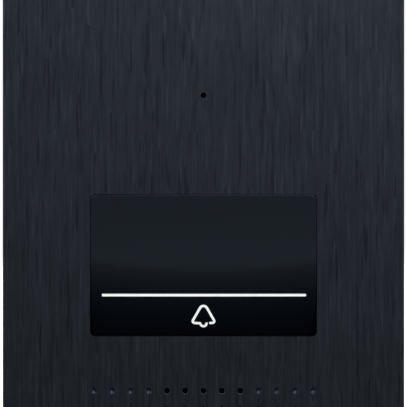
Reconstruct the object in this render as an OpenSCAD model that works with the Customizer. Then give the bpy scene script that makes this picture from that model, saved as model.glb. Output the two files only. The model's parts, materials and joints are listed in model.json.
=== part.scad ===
// Surface-mounted video door station: a brushed metal faceplate with a camera window, a microphone
// hole, one large call button and a drilled speaker field, on a housing that hangs in a wall box.
// The back of the wall box is the plane Y = 0 and the faceplate looks along -Y. +Z is up.
// Modules are drawn flat: x to the right, y up and z out of the wall, and on_wall() stands them up.

/* [Faceplate] */
// Width of the metal plate
plate_w = 110; // [104:1:150]
// Height of the metal plate
plate_h = 230; // [224:1:300]
// Thickness of the metal plate
plate_t = 3; // [2.5:0.25:4]
// Radius of the plate's corners
plate_corner = 1.5; // [1:0.25:3]
// Chamfer round the plate's front edge
plate_chamfer = 0.4; // [0.2:0.1:0.8]
// Distance from the wall to the front of the plate
overall_depth = 36; // [34:1:50]
// Width of the camera and button openings
opening_w = 62.2; // [56:0.2:66]
// Height of the camera and button openings
opening_h = 39; // [34:0.5:42]
// Radius of the openings' corners
opening_corner = 1.4; // [0.8:0.2:3]

/* [Layout] */
// Plate's top edge down to the camera's centre
camera_from_top = 43.5; // [42:0.5:50]
// Plate's bottom edge up to the button's centre
button_from_bottom = 90; // [88:0.5:100]
// Button's centre up to the microphone hole
mic_above_button = 46.5; // [40:0.5:50]
// Button's centre down to the first row of speaker holes
grille_below_button = 34.3; // [32:0.1:38]

/* [Speaker field] */
// Distance between neighbouring holes
hole_pitch = 5; // [4:0.25:5.5]
// Diameter of each hole
hole_d = 1.6; // [1:0.1:2.4]
// Holes in a row
hole_columns = 13; // [9:2:15]
// Rows of holes
hole_rows = 7; // [5:2:7]
// Depth of the holes that don't go through
blind_depth = 1.3; // [0.8:0.1:1.8]
// Outer diameter of the loudspeaker
speaker_d = 46; // [38:0.5:48]
// Height of the loudspeaker
speaker_t = 15; // [12:0.5:16]

/* [Call button] */
// Gap round the button in its opening
button_gap = 0.2; // [0.2:0.05:0.4]
// Thickness of the button's front wall
button_wall = 2.6; // [2.2:0.1:3]
// How far the front curves back at the bottom edge
button_fall = 2; // [0.5:0.25:2.5]
// Height of the curved lower part
button_curve_h = 20.2; // [14:0.2:24]
// Width of the lit line
line_w = 56; // [40:1:58]
// Height of the lit line
line_h = 0.8; // [0.6:0.1:1.2]
// Depth of the lit legend in the button
legend_depth = 1.2; // [0.8:0.1:1.6]

/* [Housing] */
// Wall of the box that is fixed to the wall
box_wall = 2.2; // [1.8:0.1:3]
// Floor of that box
box_floor = 2.5; // [2:0.1:4]
// How far the plate stands out beyond the box on each side
plate_overhang = 2; // [2:0.25:3]
// Gap between the housing and the box
housing_gap = 0.3; // [0.2:0.05:0.6]
// Wall of the inner housing
housing_wall = 2; // [1.6:0.1:2.4]
// Thickness of the rear cover
cover_t = 1.8; // [1.4:0.1:2.4]
// Space for the cable between box floor and rear cover
wiring_gap = 8; // [8:0.5:12]
// Thickness of the seal between plate and box
seal_t = 1; // [0.8:0.1:1.2]

/* [Wall fixing] */
// Diameter of the wall screws' holes
fixing_d = 4.5; // [3.5:0.5:5.5]
// Distance between the fixing holes across
fixing_x = 60; // [56:1:70]
// Distance between the fixing holes up and down
fixing_y = 160; // [130:5:170]
// Diameter of the cable's way through the grommet
cable_d = 8; // [6:0.5:10]

/* [Camera] */
// Diameter of the lens barrel
lens_d = 12; // [10:0.5:13]

/* [Hidden] */
$fn = 48;
slip = 0.02;
running = 0.06;

// Depths, measured out from the wall
plate_front = overall_depth;
plate_back = plate_front - plate_t;
gasket_t = 0.5;
flange_t = 1.5;
flange_front = plate_back - gasket_t;
flange_back = flange_front - flange_t;
housing_face = flange_back;
housing_inside = housing_face - housing_wall;
cover_back = box_floor + wiring_gap;
cover_front = cover_back + cover_t;
box_rim = plate_back - seal_t;

// Heights of the main features
camera_y = plate_h / 2 - camera_from_top;
button_y = button_from_bottom - plate_h / 2;
mic_y = button_y + mic_above_button;
grille_top = button_y - grille_below_button;
grille_y = grille_top - hole_pitch * (hole_rows - 1) / 2;

// Box and housing outlines
box_w = plate_w - 2 * plate_overhang;
box_h = plate_h - 2 * plate_overhang;
box_corner = plate_corner + 1;
housing_w = box_w - 2 * box_wall - 2 * housing_gap;
housing_h = box_h - 2 * box_wall - 2 * housing_gap;
housing_corner = 1.2;
skirt_t = housing_wall;

// Holes of the speaker field that reach the loudspeaker lie inside this many pitches of its centre
open_radius = 4.1;

// Button
key_w = opening_w - 2 * button_gap;
key_h = opening_h - 2 * button_gap;
key_corner = opening_corner - button_gap;
key_top = button_y + key_h / 2;
key_bottom = button_y - key_h / 2;
curve_start = key_bottom + button_curve_h;
curve_radius = (pow(button_curve_h, 2) + pow(button_fall, 2)) / (2 * button_fall);
skirt_back = plate_front - 8.5;
key_skirt = 1.6;
legend_back = plate_front - button_fall - legend_depth;
pin_d = 1.6;
pin_from_top = 2.6;
pin_y = key_top - pin_from_top;
pin_z = plate_front - 5.5;
pin_long = 5.6;
frame_gap = 0.2;
frame_t = 2.9;
frame_back = plate_back - 9.5;
frame_flange = 3.2;
line_y = button_y - 8.2;
bell_y = button_y - 13.7;
key_inside = plate_front - button_fall - button_wall;
label_w = 52;
label_h = 15.6;
label_y = button_y + 9.3;
label_t = 0.2;
carrier_t = 1.2;

// Bell pictogram, drawn as one bent stroke: heights and radii along the middle of the stroke
bell_stroke = 0.7;
bell_top = 2.55;
bell_base = -2.18;
bell_slope = 60.4;
bell_crown = 1.08;
bell_foot = 0.5;
bell_gap = 1.46;
clapper_r = 0.85;
guide_line_h = 3;
guide_bell_w = 9;
guide_bell_h = 8.2;
guide_bell_lift = 0.3;

// Main board
board_t = 1.6;
board_back = cover_front + 6.3;
board_front = board_back + board_t;
board_w = housing_w - 2 * skirt_t - 4;
board_top = camera_y - 25.5;
board_bottom = button_y - 27;
board_h = board_top - board_bottom;
board_y = (board_top + board_bottom) / 2;
board_screw_d = 3;
board_screw_xs = [-board_w / 2 + 4, board_w / 2 - 4];
board_screw_ys = [board_bottom + 4, board_top - 4];

// Switches and springs under the button
switch_x = 18;
switch_y = pin_y - 30;
switch_size = 6;
switch_t = 3.6;
plunger_d = 3;
plunger_top = board_front + switch_t + 1.2;
press_gap = 0.1;
spring_x = 26;
spring_y = switch_y;
spring_d = 4;
spring_wire = 0.5;
spring_turns = 6;
spring_top = skirt_back + 1.2;

// Camera, whose pan and tilt axes cross at camera_pivot
camera_pivot = plate_front - 12.5;
holder_size = 18;
sensor_board_size = 20;
sensor_board_t = 1.2;
lens_tip = camera_pivot + 5.9;
holder_back = camera_pivot - 6.1;
yoke_depth = 4;
yoke_in_x = 10.2;
yoke_in_y = 12.2;
yoke_wall = 2.4;
trunnion_d = 2;
bracket_t = 2.5;
bracket_w = 70;
bracket_h = 42;
bracket_back = camera_pivot + 2;
bracket_front = bracket_back + bracket_t;
bracket_hole_x = 33;
bracket_hole_y = 31.5;
bracket_screw_x = bracket_w / 2 - 3;
bracket_screw_y = bracket_h / 2 - 3.5;
led_board_w = 54;
led_board_h = 33;
led_board_t = 1.2;
led_board_front = bracket_front + led_board_t;
led_d = 3;
led_t = 1.5;
led_x = 18.4;
led_step = 9;

// Loudspeaker
speaker_front = plate_back - gasket_t * 2;
speaker_back = speaker_front - speaker_t;
speaker_deck = speaker_front - 7.9;
ledge_z = speaker_front - 2.1;
ledge_r = speaker_d / 2 - 3.4;
cone_d = speaker_d - 12.4;
cone_depth = 4.5;
cone_t = 0.5;
coil_d = 13;
coil_t = 0.5;
magnet_d = 26;

// Microphone
mic_d = 6;
mic_t = 3.4;
mic_front = plate_back - 2;

// Studs of the plate
stud_d = 3;
stud_x = plate_w / 2 - 12;
stud_ys = [-plate_h / 2 + 22, 0, plate_h / 2 - 22];
stud_long = 7;
nut_flats = 5.5;
nut_t = 2.4;

// Wiring
terminal_ways = 6;
terminal_pitch = 5;
terminal_y = board_y + 22;
terminal_w = terminal_ways * terminal_pitch + 1;
terminal_h = 8.4;
terminal_front = board_back;
plug_back = box_floor + 2.2;
plug_gap = 0.3;
tamper_x = -34;
tamper_y = board_y + 22;
tamper_size = 8;
tamper_d = 3;
tamper_travel = 1.5;
cable_y = board_y - 14;
grommet_d = 20;
grommet_lip = 1.4;

// Back plate of the wall box, its screws, its seal's groove and the drain holes below
back_screw_d = 2.6;
back_head_d = 5;
back_head_t = 1.3;
back_post_d = 7;
back_post_h = 7;
seal_inset = 10;
seal_w = 3;
seal_deep = 1;
drain_x = 14;
drain_d = 4;

// Locking screws at the bottom edge
lock_x = 30;
lock_z = box_floor + 18;
lock_d = 3;
lock_head_d = 5.6;
lock_head_t = 1.5;
insert_d = 4.6;
insert_long = 5;
hook_w = 9;
hook_x = 28;
hook_out = housing_gap + 1.4;
hook_t = 2.4;
hook_z = box_floor + 16;

module on_wall() { rotate([90, 0, 0]) children(); }

module at(x, y, z) { translate([x, y, z]) children(); }

// Rectangle with round corners, centred
module round_rect(w, h, r) {
    square([w - 2 * r, h], center = true);
    square([w, h - 2 * r], center = true);
    for (x = [-1, 1], y = [-1, 1])
        translate([x * (w / 2 - r), y * (h / 2 - r)]) circle(r);
}

// Flat block with round corners, from depth z0 to z1
module slab(w, h, r, z0, z1) {
    at(0, 0, z0) linear_extrude(z1 - z0) round_rect(w, h, r);
}

// Flat ring between two rounded outlines
module slab_ring(w, h, r, wall, z0, z1) {
    difference() {
        slab(w, h, r, z0, z1);
        slab(w - 2 * wall, h - 2 * wall, max(r - wall, 0.3), z0 - 1, z1 + 1);
    }
}

// Centred box from depth z0 to z1
module block(w, h, z0, z1) {
    at(-w / 2, -h / 2, z0) cube([w, h, z1 - z0]);
}

module rod(d, z0, z1) { at(0, 0, z0) cylinder(d = d, h = z1 - z0); }

module tube(d_out, d_in, z0, z1) {
    difference() {
        rod(d_out, z0, z1);
        rod(d_in, z0 - 1, z1 + 1);
    }
}

// Rod along x, centred
module cross_rod(d, x0, x1) { translate([x0, 0, 0]) rotate([0, 90, 0]) cylinder(d = d, h = x1 - x0); }

// Children at four corners
module corners(x, y) {
    for (sx = [-1, 1], sy = [-1, 1]) translate([sx * x, sy * y, 0]) children();
}

// Round wire wound into a compression spring, standing on z = 0
module coil_spring(d, wire, turns, h) {
    sides = 6;
    steps = 14 * turns;
    rise = (h - wire) / steps;
    function ring(i) = [for (k = [0:sides - 1])
        let (a = 360 * i * turns / steps, b = 360 * k / sides, r = (d - wire) / 2 + wire / 2 * cos(b))
        [r * cos(a), r * sin(a), wire / 2 + rise * i + wire / 2 * sin(b)]];
    points = [for (i = [0:steps]) each ring(i)];
    skin = [for (i = [0:steps - 1], k = [0:sides - 1])
        let (n = (k + 1) % sides, p = i * sides, q = p + sides)
        each [[p + k, q + k, q + n], [p + k, q + n, p + n]]];
    start = [[for (k = [0:sides - 1]) k]];
    end = [[for (k = [sides - 1:-1:0]) steps * sides + k]];
    polyhedron(points, concat(skin, start, end));
}

// ---- Faceplate ----

function is_open(column, row) =
    norm([column - (hole_columns - 1) / 2, row - (hole_rows - 1) / 2]) <= open_radius;

// Every speaker hole whose through state is the one asked for
module grille_holes(through) {
    for (column = [0:hole_columns - 1], row = [0:hole_rows - 1])
        if (is_open(column, row) == through)
            translate([(column - (hole_columns - 1) / 2) * hole_pitch, grille_top - row * hole_pitch, 0])
                children();
}

// Drilled hole that stops in the plate, with the drill's 118 degree point
module blind_hole() {
    point = hole_d / 2 / tan(59);
    rotate_extrude()
        polygon([
            [0, plate_front + 1], [hole_d / 2, plate_front + 1],
            [hole_d / 2, plate_front - blind_depth + point], [0, plate_front - blind_depth]
        ]);
}

// Profile with its two front corners cut off, run along one direction
module chamfered_bar(w, length) {
    c = plate_chamfer;
    rotate([90, 0, 0])
        at(0, 0, -length / 2)
            linear_extrude(length)
                polygon([
                    [-w / 2, plate_back], [w / 2, plate_back], [w / 2, plate_front - c],
                    [w / 2 - c, plate_front], [c - w / 2, plate_front], [-w / 2, plate_front - c]
                ]);
}

module front_plate() {
    color("#20242a") on_wall() difference() {
        intersection() {
            slab(plate_w, plate_h, plate_corner, plate_back, plate_front);
            chamfered_bar(plate_w, plate_h);
            rotate(90) chamfered_bar(plate_h, plate_w);
        }
        at(0, camera_y, 0) slab(opening_w, opening_h, opening_corner, plate_back - 1, plate_front + 1);
        at(0, button_y, 0) slab(opening_w, opening_h, opening_corner, plate_back - 1, plate_front + 1);
        at(0, mic_y, 0) rod(hole_d, plate_back - 1, plate_front + 1);
        grille_holes(true) rod(hole_d, plate_back - 1, plate_front + 1);
        grille_holes(false) blind_hole();
    }
}

module at_studs() { for (x = [-stud_x, stud_x], y = stud_ys) translate([x, y, 0]) children(); }

module plate_studs() {
    color("silver") on_wall() at_studs() {
        rod(stud_d, plate_back - stud_long, plate_back);
    }
}

module plate_nuts() {
    color("gainsboro") on_wall() at_studs() difference() {
        at(0, 0, housing_inside - nut_t) cylinder(d = nut_flats / cos(30), h = nut_t, $fn = 6);
        rod(stud_d + running, housing_inside - nut_t - 1, housing_inside + 1);
    }
}

// ---- Camera ----

module camera_window() {
    fit = 0.1;
    color("#0a0b0d") on_wall() at(0, camera_y, 0) {
        slab(opening_w - 2 * fit, opening_h - 2 * fit, opening_corner - fit, flange_front, plate_front);
        slab(opening_w + 4, opening_h + 4, opening_corner + 2, flange_back, flange_front);
    }
}

module window_gasket() {
    color("#303030") on_wall() at(0, camera_y, 0)
        slab_ring(opening_w + 4, opening_h + 4, opening_corner + 2, 1.9, flange_front, plate_back);
}

module camera_holder() {
    color("#2b2b2b") on_wall() at(0, camera_y, 0) difference() {
        union() {
            block(holder_size, holder_size, holder_back, camera_pivot + 1.2);
            rod(lens_d + 3, camera_pivot, camera_pivot + 3);
            at(0, 0, camera_pivot) cross_rod(trunnion_d, -yoke_in_x - yoke_wall, yoke_in_x + yoke_wall);
        }
        rod(lens_d + 2 * slip, holder_back + 2, camera_pivot + 4);
        block(11, 11, holder_back - 1, holder_back + 2.1);
    }
}

module lens_barrel() {
    color("#161616") on_wall() at(0, camera_y, 0) difference() {
        rod(lens_d, holder_back + 3, lens_tip);
        at(0, 0, lens_tip - 2.4) cylinder(d1 = lens_d - 5, d2 = lens_d - 2, h = 2.5);
        rod(lens_d - 5, holder_back + 2, lens_tip - 2.3);
    }
}

module lens_front() {
    bulge = 1.1;
    r = (pow(lens_d / 2 - 2, 2) + bulge * bulge) / (2 * bulge);
    color("#1c2438") on_wall() at(0, camera_y, 0) {
        rod(lens_d - 5 - 4 * slip, holder_back + 4, lens_tip - 2.4);
        intersection() {
            at(0, 0, lens_tip - 2.4)
                cylinder(d1 = lens_d - 5 - 4 * slip, d2 = lens_d - 2 - 4 * slip, h = 2.5);
            at(0, 0, lens_tip - 0.5 - r) sphere(r);
        }
    }
}

module lens_ring() {
    color("#5a5f66") on_wall() at(0, camera_y, 0)
        tube(lens_d + 2, lens_d + 2 * slip, camera_pivot + 3, camera_pivot + 4.2);
}

module image_sensor() {
    color("#384858") on_wall() at(0, camera_y, 0)
        block(8, 8, holder_back, holder_back + 1.4);
}

module sensor_board() {
    color("#1f5f3a") on_wall() at(0, camera_y, 0)
        slab(sensor_board_size, sensor_board_size, 1, holder_back - sensor_board_t, holder_back);
}

module camera_yoke() {
    z0 = camera_pivot - yoke_depth / 2;
    z1 = camera_pivot + yoke_depth / 2;
    color("#3a3a3a") on_wall() at(0, camera_y, 0) difference() {
        union() {
            block(2 * (yoke_in_x + yoke_wall), 2 * (yoke_in_y + yoke_wall), z0, z1);
            at(0, 0, camera_pivot) rotate(90)
                cross_rod(trunnion_d, -yoke_in_y - yoke_wall - 2.6, yoke_in_y + yoke_wall + 2.6);
        }
        block(2 * yoke_in_x, 2 * yoke_in_y, z0 - 1, z1 + 1);
        at(0, 0, camera_pivot)
            cross_rod(trunnion_d + running * 2, -yoke_in_x - yoke_wall - 1, yoke_in_x + yoke_wall + 1);
    }
}

module camera_bracket() {
    ear_y = yoke_in_y + yoke_wall + 0.4;
    ear_t = 2.6;
    color("#b9bcc0") on_wall() at(0, camera_y, 0) difference() {
        union() {
            difference() {
                slab(bracket_w, bracket_h, 1.5, bracket_back, bracket_front);
                block(bracket_hole_x, bracket_hole_y, bracket_back - 1, bracket_front + 1);
            }
            for (side = [-1, 1])
                at(0, side * (ear_y + ear_t / 2), 0)
                    block(8, ear_t, camera_pivot - 2.4, bracket_front);
        }
        at(0, 0, camera_pivot) rotate(90) cross_rod(trunnion_d + running * 2, -ear_y - 4, ear_y + 4);
        corners(bracket_screw_x, bracket_screw_y) rod(2.3, bracket_back - 1, bracket_front + 1);
    }
}

// Round-headed screw with its head's underside at depth z, pointing out of the wall
module screw(d, head_d, head_t, long, z) {
    difference() {
        union() {
            rod(d, z, z + long);
            rod(head_d, z - head_t, z);
        }
        rod(head_d * 0.42, z - head_t - 1, z - head_t * 0.4, $fn = 6);
    }
}

module bracket_screws() {
    color("silver") on_wall() at(0, camera_y, 0) corners(bracket_screw_x, bracket_screw_y)
        screw(2, 3.6, 1.2, 5, bracket_back);
}

module led_board() {
    color("#14452c") on_wall() at(0, camera_y, 0) difference() {
        slab(led_board_w, led_board_h, 1, bracket_front, led_board_front);
        rod(lens_d + 7, bracket_front - 1, led_board_front + 1);
    }
}

module infrared_leds() {
    color("#20202c") on_wall() at(0, camera_y, 0)
        for (side = [-1, 1], row = [-1, 0, 1])
            at(side * led_x, row * led_step, led_board_front) intersection() {
                cylinder(d = led_d, h = led_t);
                at(0, 0, led_t - led_d) sphere(led_d);
            }
}

module light_sensor() {
    color("#d8d2b8") on_wall() at(0, camera_y + led_board_h / 2 - 3, 0)
        block(2.4, 2, led_board_front, led_board_front + 1);
}

// ---- Call button ----

// The button's outer form: flat above, rolled back below on a large radius
module key_solid(back) {
    difference() {
        at(0, button_y, 0) slab(key_w, key_h, key_corner, back, plate_front);
        difference() {
            at(-key_w, key_bottom - 1, plate_front - button_fall - 1)
                cube([2 * key_w, button_curve_h + 1, button_fall + 2]);
            at(0, curve_start, plate_front - curve_radius)
                cross_rod(2 * curve_radius, -key_w - 1, key_w + 1);
        }
    }
}

module call_button() {
    inner = key_w - 2 * key_skirt;
    color("#0b0c0e") on_wall() difference() {
        union() {
            difference() {
                key_solid(skirt_back);
                at(0, button_y, 0) block(inner, key_h - 2 * key_skirt, skirt_back - 1, key_inside);
            }
            for (side = [-1, 1]) {
                at(side * switch_x, switch_y, 0) rod(4, plunger_top + press_gap, key_inside + 0.5);
                at(side * spring_x, spring_y, 0) rod(spring_d + 1, spring_top, key_inside + 0.5);
                at(side * (key_w / 2 - key_skirt - 1), pin_y, 0)
                    block(2, 4.4, pin_z - 2.2, key_inside + 0.5);
            }
        }
        at(0, pin_y, pin_z) cross_rod(pin_d + running * 2, -key_w, key_w);
        legend_form(legend_back, plate_front + 1);
        light_guide_form(key_inside - 1, legend_back, 0);
    }
}

// Bar behind the lit line and block behind the bell
module light_guide_form(z0, z1, gap) {
    at(0, line_y, 0) block(line_w + 1 - 2 * gap, guide_line_h - 2 * gap, z0, z1);
    at(0, bell_y + guide_bell_lift, 0) block(guide_bell_w - 2 * gap, guide_bell_h - 2 * gap, z0, z1);
}

function unit(v) = v / norm(v);
function left_of(v) = [-v[1], v[0]];

// Offset of point i of a path to its left by half the width, mitred between its two neighbours
function mitre(path, i, width) =
    let (
        last = len(path) - 1,
        into = unit(path[max(i, 1)] - path[max(i, 1) - 1]),
        out = unit(path[min(i, last - 1) + 1] - path[min(i, last - 1)]),
        m = left_of(unit(into + out))
    )
    m * width / 2 / (m * left_of(out));

// Path thickened to a band of even width, with square ends
module band(path, width) {
    last = len(path) - 1;
    polygon(concat(
        [for (i = [0:last]) path[i] + mitre(path, i, width)],
        [for (i = [last:-1:0]) path[i] - mitre(path, i, width)]
    ));
}

function arc(centre, r, from, to, steps) =
    [for (i = [0:steps]) let (a = from + (to - from) * i / steps) centre + r * [cos(a), sin(a)]];

// Bell with its clapper, open to the right of the clapper
module bell() {
    side = [sin(bell_slope), cos(bell_slope)];
    crown = [0, bell_top - bell_crown];
    foot_y = bell_base + bell_foot;
    foot_x = (side * crown + bell_crown - bell_foot - side[1] * foot_y) / side[0];
    band(concat(
        arc([0, bell_base], clapper_r, 10, -170, 9),
        arc([-foot_x, foot_y], bell_foot, 270, 90 + bell_slope, 4),
        arc(crown, bell_crown, 90 + bell_slope, 90 - bell_slope, 8),
        arc([foot_x, foot_y], bell_foot, 90 - bell_slope, -90, 4),
        [[bell_gap, bell_base]]
    ), bell_stroke);
}

module legend_form(z0, z1) {
    at(0, 0, z0) linear_extrude(z1 - z0) {
        translate([0, line_y]) round_rect(line_w, line_h, line_h / 2 - slip);
        translate([0, bell_y]) bell();
    }
}

module legend_inlay() {
    color("white") on_wall() intersection() {
        key_solid(skirt_back);
        legend_form(legend_back, plate_front + 1);
    }
}

module light_guide() {
    color("#e9eef2") on_wall() light_guide_form(skirt_back + 1, legend_back, 0.05);
}

module name_label() {
    color("#101113") on_wall() at(0, label_y, 0)
        block(label_w, label_h, key_inside - label_t, key_inside);
}

module label_carrier() {
    lip = 0.5;
    color("#15171a") on_wall() at(0, label_y, 0)
        block(label_w + lip, label_h + lip, key_inside - label_t - carrier_t, key_inside - label_t);
}

module button_frame() {
    inner_w = key_w + 2 * frame_gap;
    inner_h = key_h + 2 * frame_gap;
    outer_w = inner_w + 2 * frame_t;
    outer_h = inner_h + 2 * frame_t;
    reach = outer_w / 2 + frame_flange + 1;
    color("#26282b") on_wall() difference() {
        at(0, button_y, 0) union() {
            slab(outer_w, outer_h, 2, frame_back, flange_back);
            slab(outer_w + 2 * frame_flange, outer_h, 2, flange_back, flange_front);
        }
        at(0, button_y, 0) slab(inner_w, inner_h, key_corner + frame_gap, frame_back - 1, flange_front + 1);
        at(0, pin_y, pin_z) cross_rod(pin_d + running, -reach, reach);
    }
}

module frame_gasket() {
    color("#303030") on_wall() at(0, button_y, 0)
        slab_ring(opening_w + 6, opening_h + 4, opening_corner + 2, 1.9, flange_front, plate_back);
}

module hinge_pins() {
    color("silver") on_wall() for (side = [-1, 1])
        at(side * (key_w / 2 + 0.3), pin_y, pin_z) cross_rod(pin_d, -pin_long / 2, pin_long / 2);
}

module return_springs() {
    color("silver") on_wall() for (side = [-1, 1])
        at(side * spring_x, spring_y, board_front)
            coil_spring(spring_d, spring_wire, spring_turns, spring_top - board_front);
}

module switch_bodies() {
    color("#3b3b3d") on_wall() for (side = [-1, 1])
        at(side * switch_x, switch_y, 0) difference() {
            block(switch_size, switch_size, board_front, board_front + switch_t);
            rod(plunger_d + running * 2, board_front + 1, board_front + switch_t + 1);
        }
}

module switch_plungers() {
    color("#b5452f") on_wall() for (side = [-1, 1])
        at(side * switch_x, switch_y, 0) rod(plunger_d, board_front + 2.2, plunger_top);
}

module button_leds() {
    color("#f4f1d8") on_wall() {
        for (i = [-2:2]) at(i * line_w / 5, line_y, 0) block(3.2, 2.8, board_front, board_front + 1.2);
        at(0, bell_y, 0) block(3.2, 2.8, board_front, board_front + 1.2);
    }
}

// ---- Loudspeaker and microphone ----

module acoustic_membrane() {
    color("#1a1a1a") on_wall() at(0, grille_y, 0)
        rod(speaker_d, plate_back - gasket_t, plate_back);
}

module speaker_gasket() {
    color("#333333") on_wall() at(0, grille_y, 0)
        tube(speaker_d, speaker_d - 5, speaker_front, plate_back - gasket_t);
}

// Turned frame: a flat rim, a ledge that carries the surround, a cone and a plate for the magnet
module speaker_basket() {
    r = speaker_d / 2;
    wall = 1;
    color("#4a4d50") on_wall() at(0, grille_y, 0) difference() {
        rotate_extrude() polygon([
            [magnet_d / 2 - 2, speaker_deck], [magnet_d / 2 + 2, speaker_deck],
            [ledge_r + 0.6, ledge_z - 1.6], [r - 1.5, ledge_z - 1.6], [r - 1.5, speaker_front - 1.2],
            [r, speaker_front - 1.2], [r, speaker_front], [r - 2.5, speaker_front],
            [r - 2.5, ledge_z], [ledge_r, ledge_z], [ledge_r, ledge_z - 1.2],
            [magnet_d / 2 + 2 - wall, speaker_deck + wall], [magnet_d / 2 - 2, speaker_deck + wall]
        ]);
        for (a = [0:60:300]) rotate(a + 30)
            at(magnet_d / 2 + 4.2, 0, (speaker_deck + ledge_z) / 2 - 0.3) cube([5, 6, 2.4], center = true);
    }
}

module speaker_magnet() {
    color("#7c8084") on_wall() at(0, grille_y, 0) {
        difference() {
            rod(magnet_d, speaker_back, speaker_deck);
            rod(coil_d + 1.6, speaker_back + 1.6, speaker_deck + 1);
        }
        rod(coil_d - 2.4, speaker_back + 1.6, speaker_deck);
    }
}

// The cone with its dust cap: a thin turned shell
module speaker_cone() {
    z1 = ledge_z + cone_t;
    z0 = z1 - cone_depth;
    r1 = cone_d / 2;
    r0 = coil_d / 2;
    dome = (pow(r0, 2) + pow(2, 2)) / (2 * 2);
    color("#3d3a36") on_wall() at(0, grille_y, 0) {
        rotate_extrude() polygon([
            [r0 - cone_t, z0], [r0, z0], [r1, z1 - cone_t], [r1, z1], [r0 - cone_t, z0 + cone_t * 1.4]
        ]);
        difference() {
            intersection() {
                at(0, 0, z0 + 2.4 - dome) sphere(dome);
                rod(2 * r0, z0, z1);
            }
            at(0, 0, z0 + 2.4 - cone_t - dome) sphere(dome);
        }
    }
}

// Half-round roll between the cone's edge and the basket's ledge
module speaker_surround() {
    roll = (ledge_r - cone_d / 2) / 2;
    color("#222222") on_wall() at(0, grille_y, 0) rotate_extrude() union() {
        intersection() {
            difference() {
                translate([ledge_r - roll, ledge_z]) circle(roll);
                translate([ledge_r - roll, ledge_z]) circle(roll - cone_t);
            }
            translate([cone_d / 2, ledge_z]) square([2 * roll, roll + 1]);
        }
        translate([ledge_r - cone_t, ledge_z])
            square([speaker_d / 2 - 2.5 - ledge_r + cone_t - slip, cone_t]);
    }
}

module voice_coil() {
    z0 = ledge_z + cone_t - cone_depth;
    color("#a5622a") on_wall() at(0, grille_y, 0)
        tube(coil_d, coil_d - 2 * coil_t, z0 - 4.2, z0);
}

module microphone() {
    color("#a8acb0") on_wall() at(0, mic_y, 0) rod(mic_d, mic_front - mic_t, mic_front);
}

module microphone_boot() {
    color("#1b1b1b") on_wall() at(0, mic_y, 0) difference() {
        union() {
            rod(mic_d + 4, mic_front - mic_t, housing_inside);
            rod(mic_d + 1, housing_inside, plate_back);
        }
        rod(mic_d, mic_front - mic_t - 1, mic_front);
        rod(hole_d, mic_front - 1, plate_back + 1);
    }
}

// ---- Electronics ----

module at_board_screws() { for (x = board_screw_xs, y = board_screw_ys) translate([x, y, 0]) children(); }

module main_board() {
    color("#17603c") on_wall() difference() {
        at(0, board_y, 0) slab(board_w, board_h, 2, board_back, board_front);
        at_board_screws() rod(board_screw_d + 0.4, board_back - 1, board_front + 1);
    }
}

module board_screws() {
    color("silver") on_wall() at_board_screws() screw(2.6, 5, 1.6, 7, board_back);
}

module processor_shield() {
    color("#c3c6c8") on_wall() at(0, board_y - 2, 0)
        slab(26, 20, 0.8, board_back - 2.4, board_back);
}

module board_chips() {
    color("#1d1d1f") on_wall() {
        at(26, board_y - 4, 0) block(10, 10, board_back - 1.2, board_back);
        at(-26, board_y - 4, 0) block(8, 6, board_back - 1.2, board_back);
        at(24, board_y - 22, 0) block(12, 7, board_back - 1.6, board_back);
        at(-24, board_y - 22, 0) block(7, 7, board_back - 1.2, board_back);
        for (i = [0:5]) at(-36 + i * 4, board_y + 8, 0) block(2, 1.2, board_back - 0.9, board_back);
    }
}

module capacitors() {
    color("#26324a") on_wall() for (x = [26, 35])
        at(x, board_top - 14, 0) rod(6.3, board_front, board_front + 6.8);
}

module relay() {
    color("#e6e6e2") on_wall() at(-30, board_top - 14, 0) block(15, 10, board_front, board_front + 6.6);
}

module terminal_header() {
    color("#2c6b3f") on_wall() at(0, terminal_y, 0) difference() {
        block(terminal_w, terminal_h, cover_back - 0.5, terminal_front);
        block(terminal_w - 2, terminal_h - 2, cover_back - 1.5, terminal_front - 1.4);
    }
}

module terminal_plug() {
    color("#3a8a52") on_wall() at(0, terminal_y, 0) difference() {
        union() {
            block(terminal_w - 2 - 2 * plug_gap, terminal_h - 2 - 2 * plug_gap,
                cover_back - 0.6, terminal_front - 2);
            block(terminal_w, terminal_h + 2, plug_back, cover_back - 0.5 - slip);
        }
        for (i = [0:terminal_ways - 1])
            at((i - (terminal_ways - 1) / 2) * terminal_pitch, 0, 0) {
                rod(2.6, plug_back - 1, plug_back + 1.4);
                at(0, -terminal_h / 2 - 1.01, plug_back + 3.2) rotate([-90, 0, 0]) cylinder(d = 2.8, h = 4);
            }
    }
}

module tamper_switch() {
    color("#333336") on_wall() at(tamper_x, tamper_y, 0) difference() {
        block(tamper_size, tamper_size, cover_front + 0.2, board_back);
        rod(tamper_d + 1.4, cover_front + 1.4, board_back - 1);
        rod(tamper_d + running * 2, cover_front - 1, cover_front + 3);
    }
}

// Long plunger that the wall holds in: a collar inside the switch keeps it from falling out
module tamper_plunger() {
    collar = cover_front + 1.4 + tamper_travel + 0.1;
    color("#c9cbcd") on_wall() at(tamper_x, tamper_y, 0) {
        rod(tamper_d, 0, collar);
        rod(tamper_d + 1.2, collar, collar + 0.6);
    }
}

module tamper_spring() {
    foot = cover_front + 2.1 + tamper_travel;
    color("silver") on_wall() at(tamper_x, tamper_y, foot)
        coil_spring(tamper_d, 0.35, 3, board_back - 1 - foot);
}

// ---- Housing and wall box ----

module lock_positions() { for (x = [-lock_x, lock_x]) translate([x, -housing_h / 2, lock_z]) children(); }

function cover_screw_ys() = [8 - housing_h / 2, housing_h / 2 - 8];

module at_cover_screws() { for (x = board_screw_xs, y = cover_screw_ys()) at(x, y, 0) children(); }

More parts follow.
